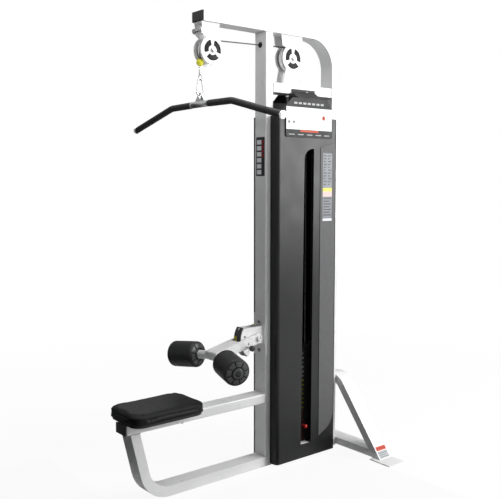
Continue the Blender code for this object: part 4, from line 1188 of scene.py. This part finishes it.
def make_leg_mark():
    """A warning-coloured band over a pale panel, without words, low on the near leg's slope."""
    low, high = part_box("rear_arch")
    tree = BVHTree.FromObject(NODES["rear_arch"], bpy.context.evaluated_depsgraph_get())
    place = NODES["rear_arch"].matrix_world.inverted()
    spots = []
    for z in (0.060, 0.200):
        start = place @ Vector((high.x + 0.1, (low.y + high.y) / 2, z))
        spots.append(NODES["rear_arch"].matrix_world @ tree.ray_cast(start, -RIGHT)[0])
    up_leg = (spots[1] - spots[0]).normalized()
    foot = spots[0] - up_leg * (spots[0].z - 0.006) / up_leg.z
    foot.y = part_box("rear_base_tube")[0].y
    marks = [(0.008, 0.048, 0.084, 0.072, ORANGE), (0.008, 0.004, 0.084, 0.045, FAINT)]
    marks += [(0.013 + 0.018 * k, 0.054, 0.024 + 0.018 * k, 0.066, SIGNAL) for k in range(4)]
    marks += [(0.014, 0.010 + 0.011 * k, 0.078 - 0.016 * (k % 2), 0.014 + 0.011 * k, SLATE)
              for k in range(3)]
    stickers("leg_mark", foot, REAR, up_leg, marks, "frame")


# ---- studio
def area_light(name, place, target, width, height, power):
    data = bpy.data.lights.new(name, "AREA")
    data.shape = "RECTANGLE"
    data.size = width
    data.size_y = height
    data.energy = power
    obj = bpy.data.objects.new(name, data)
    obj.location = place
    obj.rotation_euler = (Vector(target) - Vector(place)).to_track_quat("-Z", "Y").to_euler()
    obj.visible_camera = False
    bpy.context.scene.collection.objects.link(obj)
    return data


def make_floor():
    """A pale floor that fades into the white backdrop away from the machine."""
    bm = bmesh.new()
    bmesh.ops.create_grid(bm, x_segments=1, y_segments=1, size=30)
    mesh = mesh_of("studio_floor", bm)
    finish = Finish("pale_floor", (0.88, 0.88, 0.88), 0.75)
    tree = finish.tree
    glow = finish.node("Emission", Color=(1, 1, 1, 1))
    radius = finish.node("VectorMath")
    radius.operation = "LENGTH"
    finish.link(finish.place, radius.inputs[0])
    fade = finish.spread(radius.outputs["Value"], 0.92, 1.0, 1.2, 4.0)
    seen = finish.node("LightPath")
    factor = finish.node("Math")
    factor.operation = "MULTIPLY"
    finish.link(fade, factor.inputs[0])
    finish.link(seen.outputs["Is Camera Ray"], factor.inputs[1])
    blend = finish.node("MixShader")
    finish.link(factor.outputs["Value"], blend.inputs["Fac"])
    finish.link(finish.shader.outputs["BSDF"], blend.inputs[1])
    finish.link(glow.outputs["Emission"], blend.inputs[2])
    finish.link(blend.outputs["Shader"], tree.nodes["Material Output"].inputs["Surface"])
    add("studio_floor", mesh, [finish.material], None, 0)


def make_world():
    """White to the camera, and a dim even glow to everything else."""
    world = bpy.data.worlds.new("studio")
    bpy.context.scene.world = world
    world.use_nodes = True
    tree = world.node_tree
    white = tree.nodes["Background"]
    white.inputs["Color"].default_value = (1, 1, 1, 1)
    dim = shader_node(tree, "Background", Color=(0.97, 0.98, 1.0, 1))
    seen = shader_node(tree, "LightPath")
    gleam = shader_node(tree, "MapRange", To_Min=0.10, To_Max=0.70)
    tree.links.new(seen.outputs["Is Glossy Ray"], gleam.inputs["Value"])
    tree.links.new(gleam.outputs["Result"], dim.inputs["Strength"])
    blend = shader_node(tree, "MixShader")
    tree.links.new(seen.outputs["Is Camera Ray"], blend.inputs["Fac"])
    tree.links.new(dim.outputs["Background"], blend.inputs[1])
    tree.links.new(white.outputs["Background"], blend.inputs[2])
    tree.links.new(blend.outputs["Shader"], tree.nodes["World Output"].inputs["Surface"])


def make_card(name, corners, diffuse):
    """A black card, unseen, that keeps the floor's or the backdrop's glow off a part."""
    bm = bmesh.new()
    bm.faces.new([bm.verts.new(corner) for corner in corners])
    card = add(name, mesh_of(name, bm), [INK], None, 0)
    card.visible_camera = False
    card.visible_shadow = False
    card.visible_diffuse = diffuse


def upright_card(start, end, height):
    return (*start, 0), (*end, 0), (*end, height), (*start, height)


def flat_card(low, high, lift=0.002):
    return (*low, lift), (high[0], low[1], lift), (*high, lift), (low[0], high[1], lift)


def make_cards():
    """Cards in front of the seat, beneath the front leg, beside the cover and past the seat."""
    make_card("card_front", upright_card((-0.9, -1.20), (0.4, -1.20), 0.5), True)
    make_card("card_leg", flat_card((-0.8, -1.6), (0.7, -0.86)), True)
    make_card("card_side", flat_card((0.14, -0.5), (1.1, 0.5)), True)
    make_card("card_gloss", upright_card((-1.6, -1.6), (-1.6, 2.6), 2.4), False)


def make_studio():
    scene = bpy.context.scene
    scene.view_settings.view_transform = "Standard"
    make_floor()
    make_world()
    area_light("key", (3.3, 3.1, 2.40), (0, 0.1, 1.5), 2.4, 2.7, 200)
    area_light("top", (0.4, 0.30, 4.6), (0, 0.30, 0), 3.2, 3.1, 116)
    area_light("far_side", (-4.0, 1.0, 2.2), (0, 0, 1.0), 2.6, 2.2, 30)
    brackets = area_light("brackets", (1.5, -3.2, 2.7), (0, -0.36, 2.24), 0.8, 0.8, 0.5)
    brackets.spread = math.radians(16)
    make_cards()
    camera_data = bpy.data.cameras.new("camera")
    camera_data.lens = 53.36
    camera_data.sensor_width = 36.0
    camera = bpy.data.objects.new("camera", camera_data)
    heading, dip = math.radians(51.0), math.radians(5.04)
    look = Vector((-math.sin(heading) * math.cos(dip), math.cos(heading) * math.cos(dip), -math.sin(dip)))
    camera.location = (2.996, -2.495, 1.510)
    camera.rotation_euler = look.to_track_quat("-Z", "Y").to_euler()
    scene.collection.objects.link(camera)
    scene.camera = camera


dress_frame()
make_pulleys()
make_cables()
make_stop_ball()
make_cable_eye()
make_hook()
make_bar()
make_stack()
make_selector_pin()
make_covers()
make_accent_label()
make_signs()
make_hold_down()
make_roller("right")
make_roller("left")
make_seat()
make_marks()
make_studio()
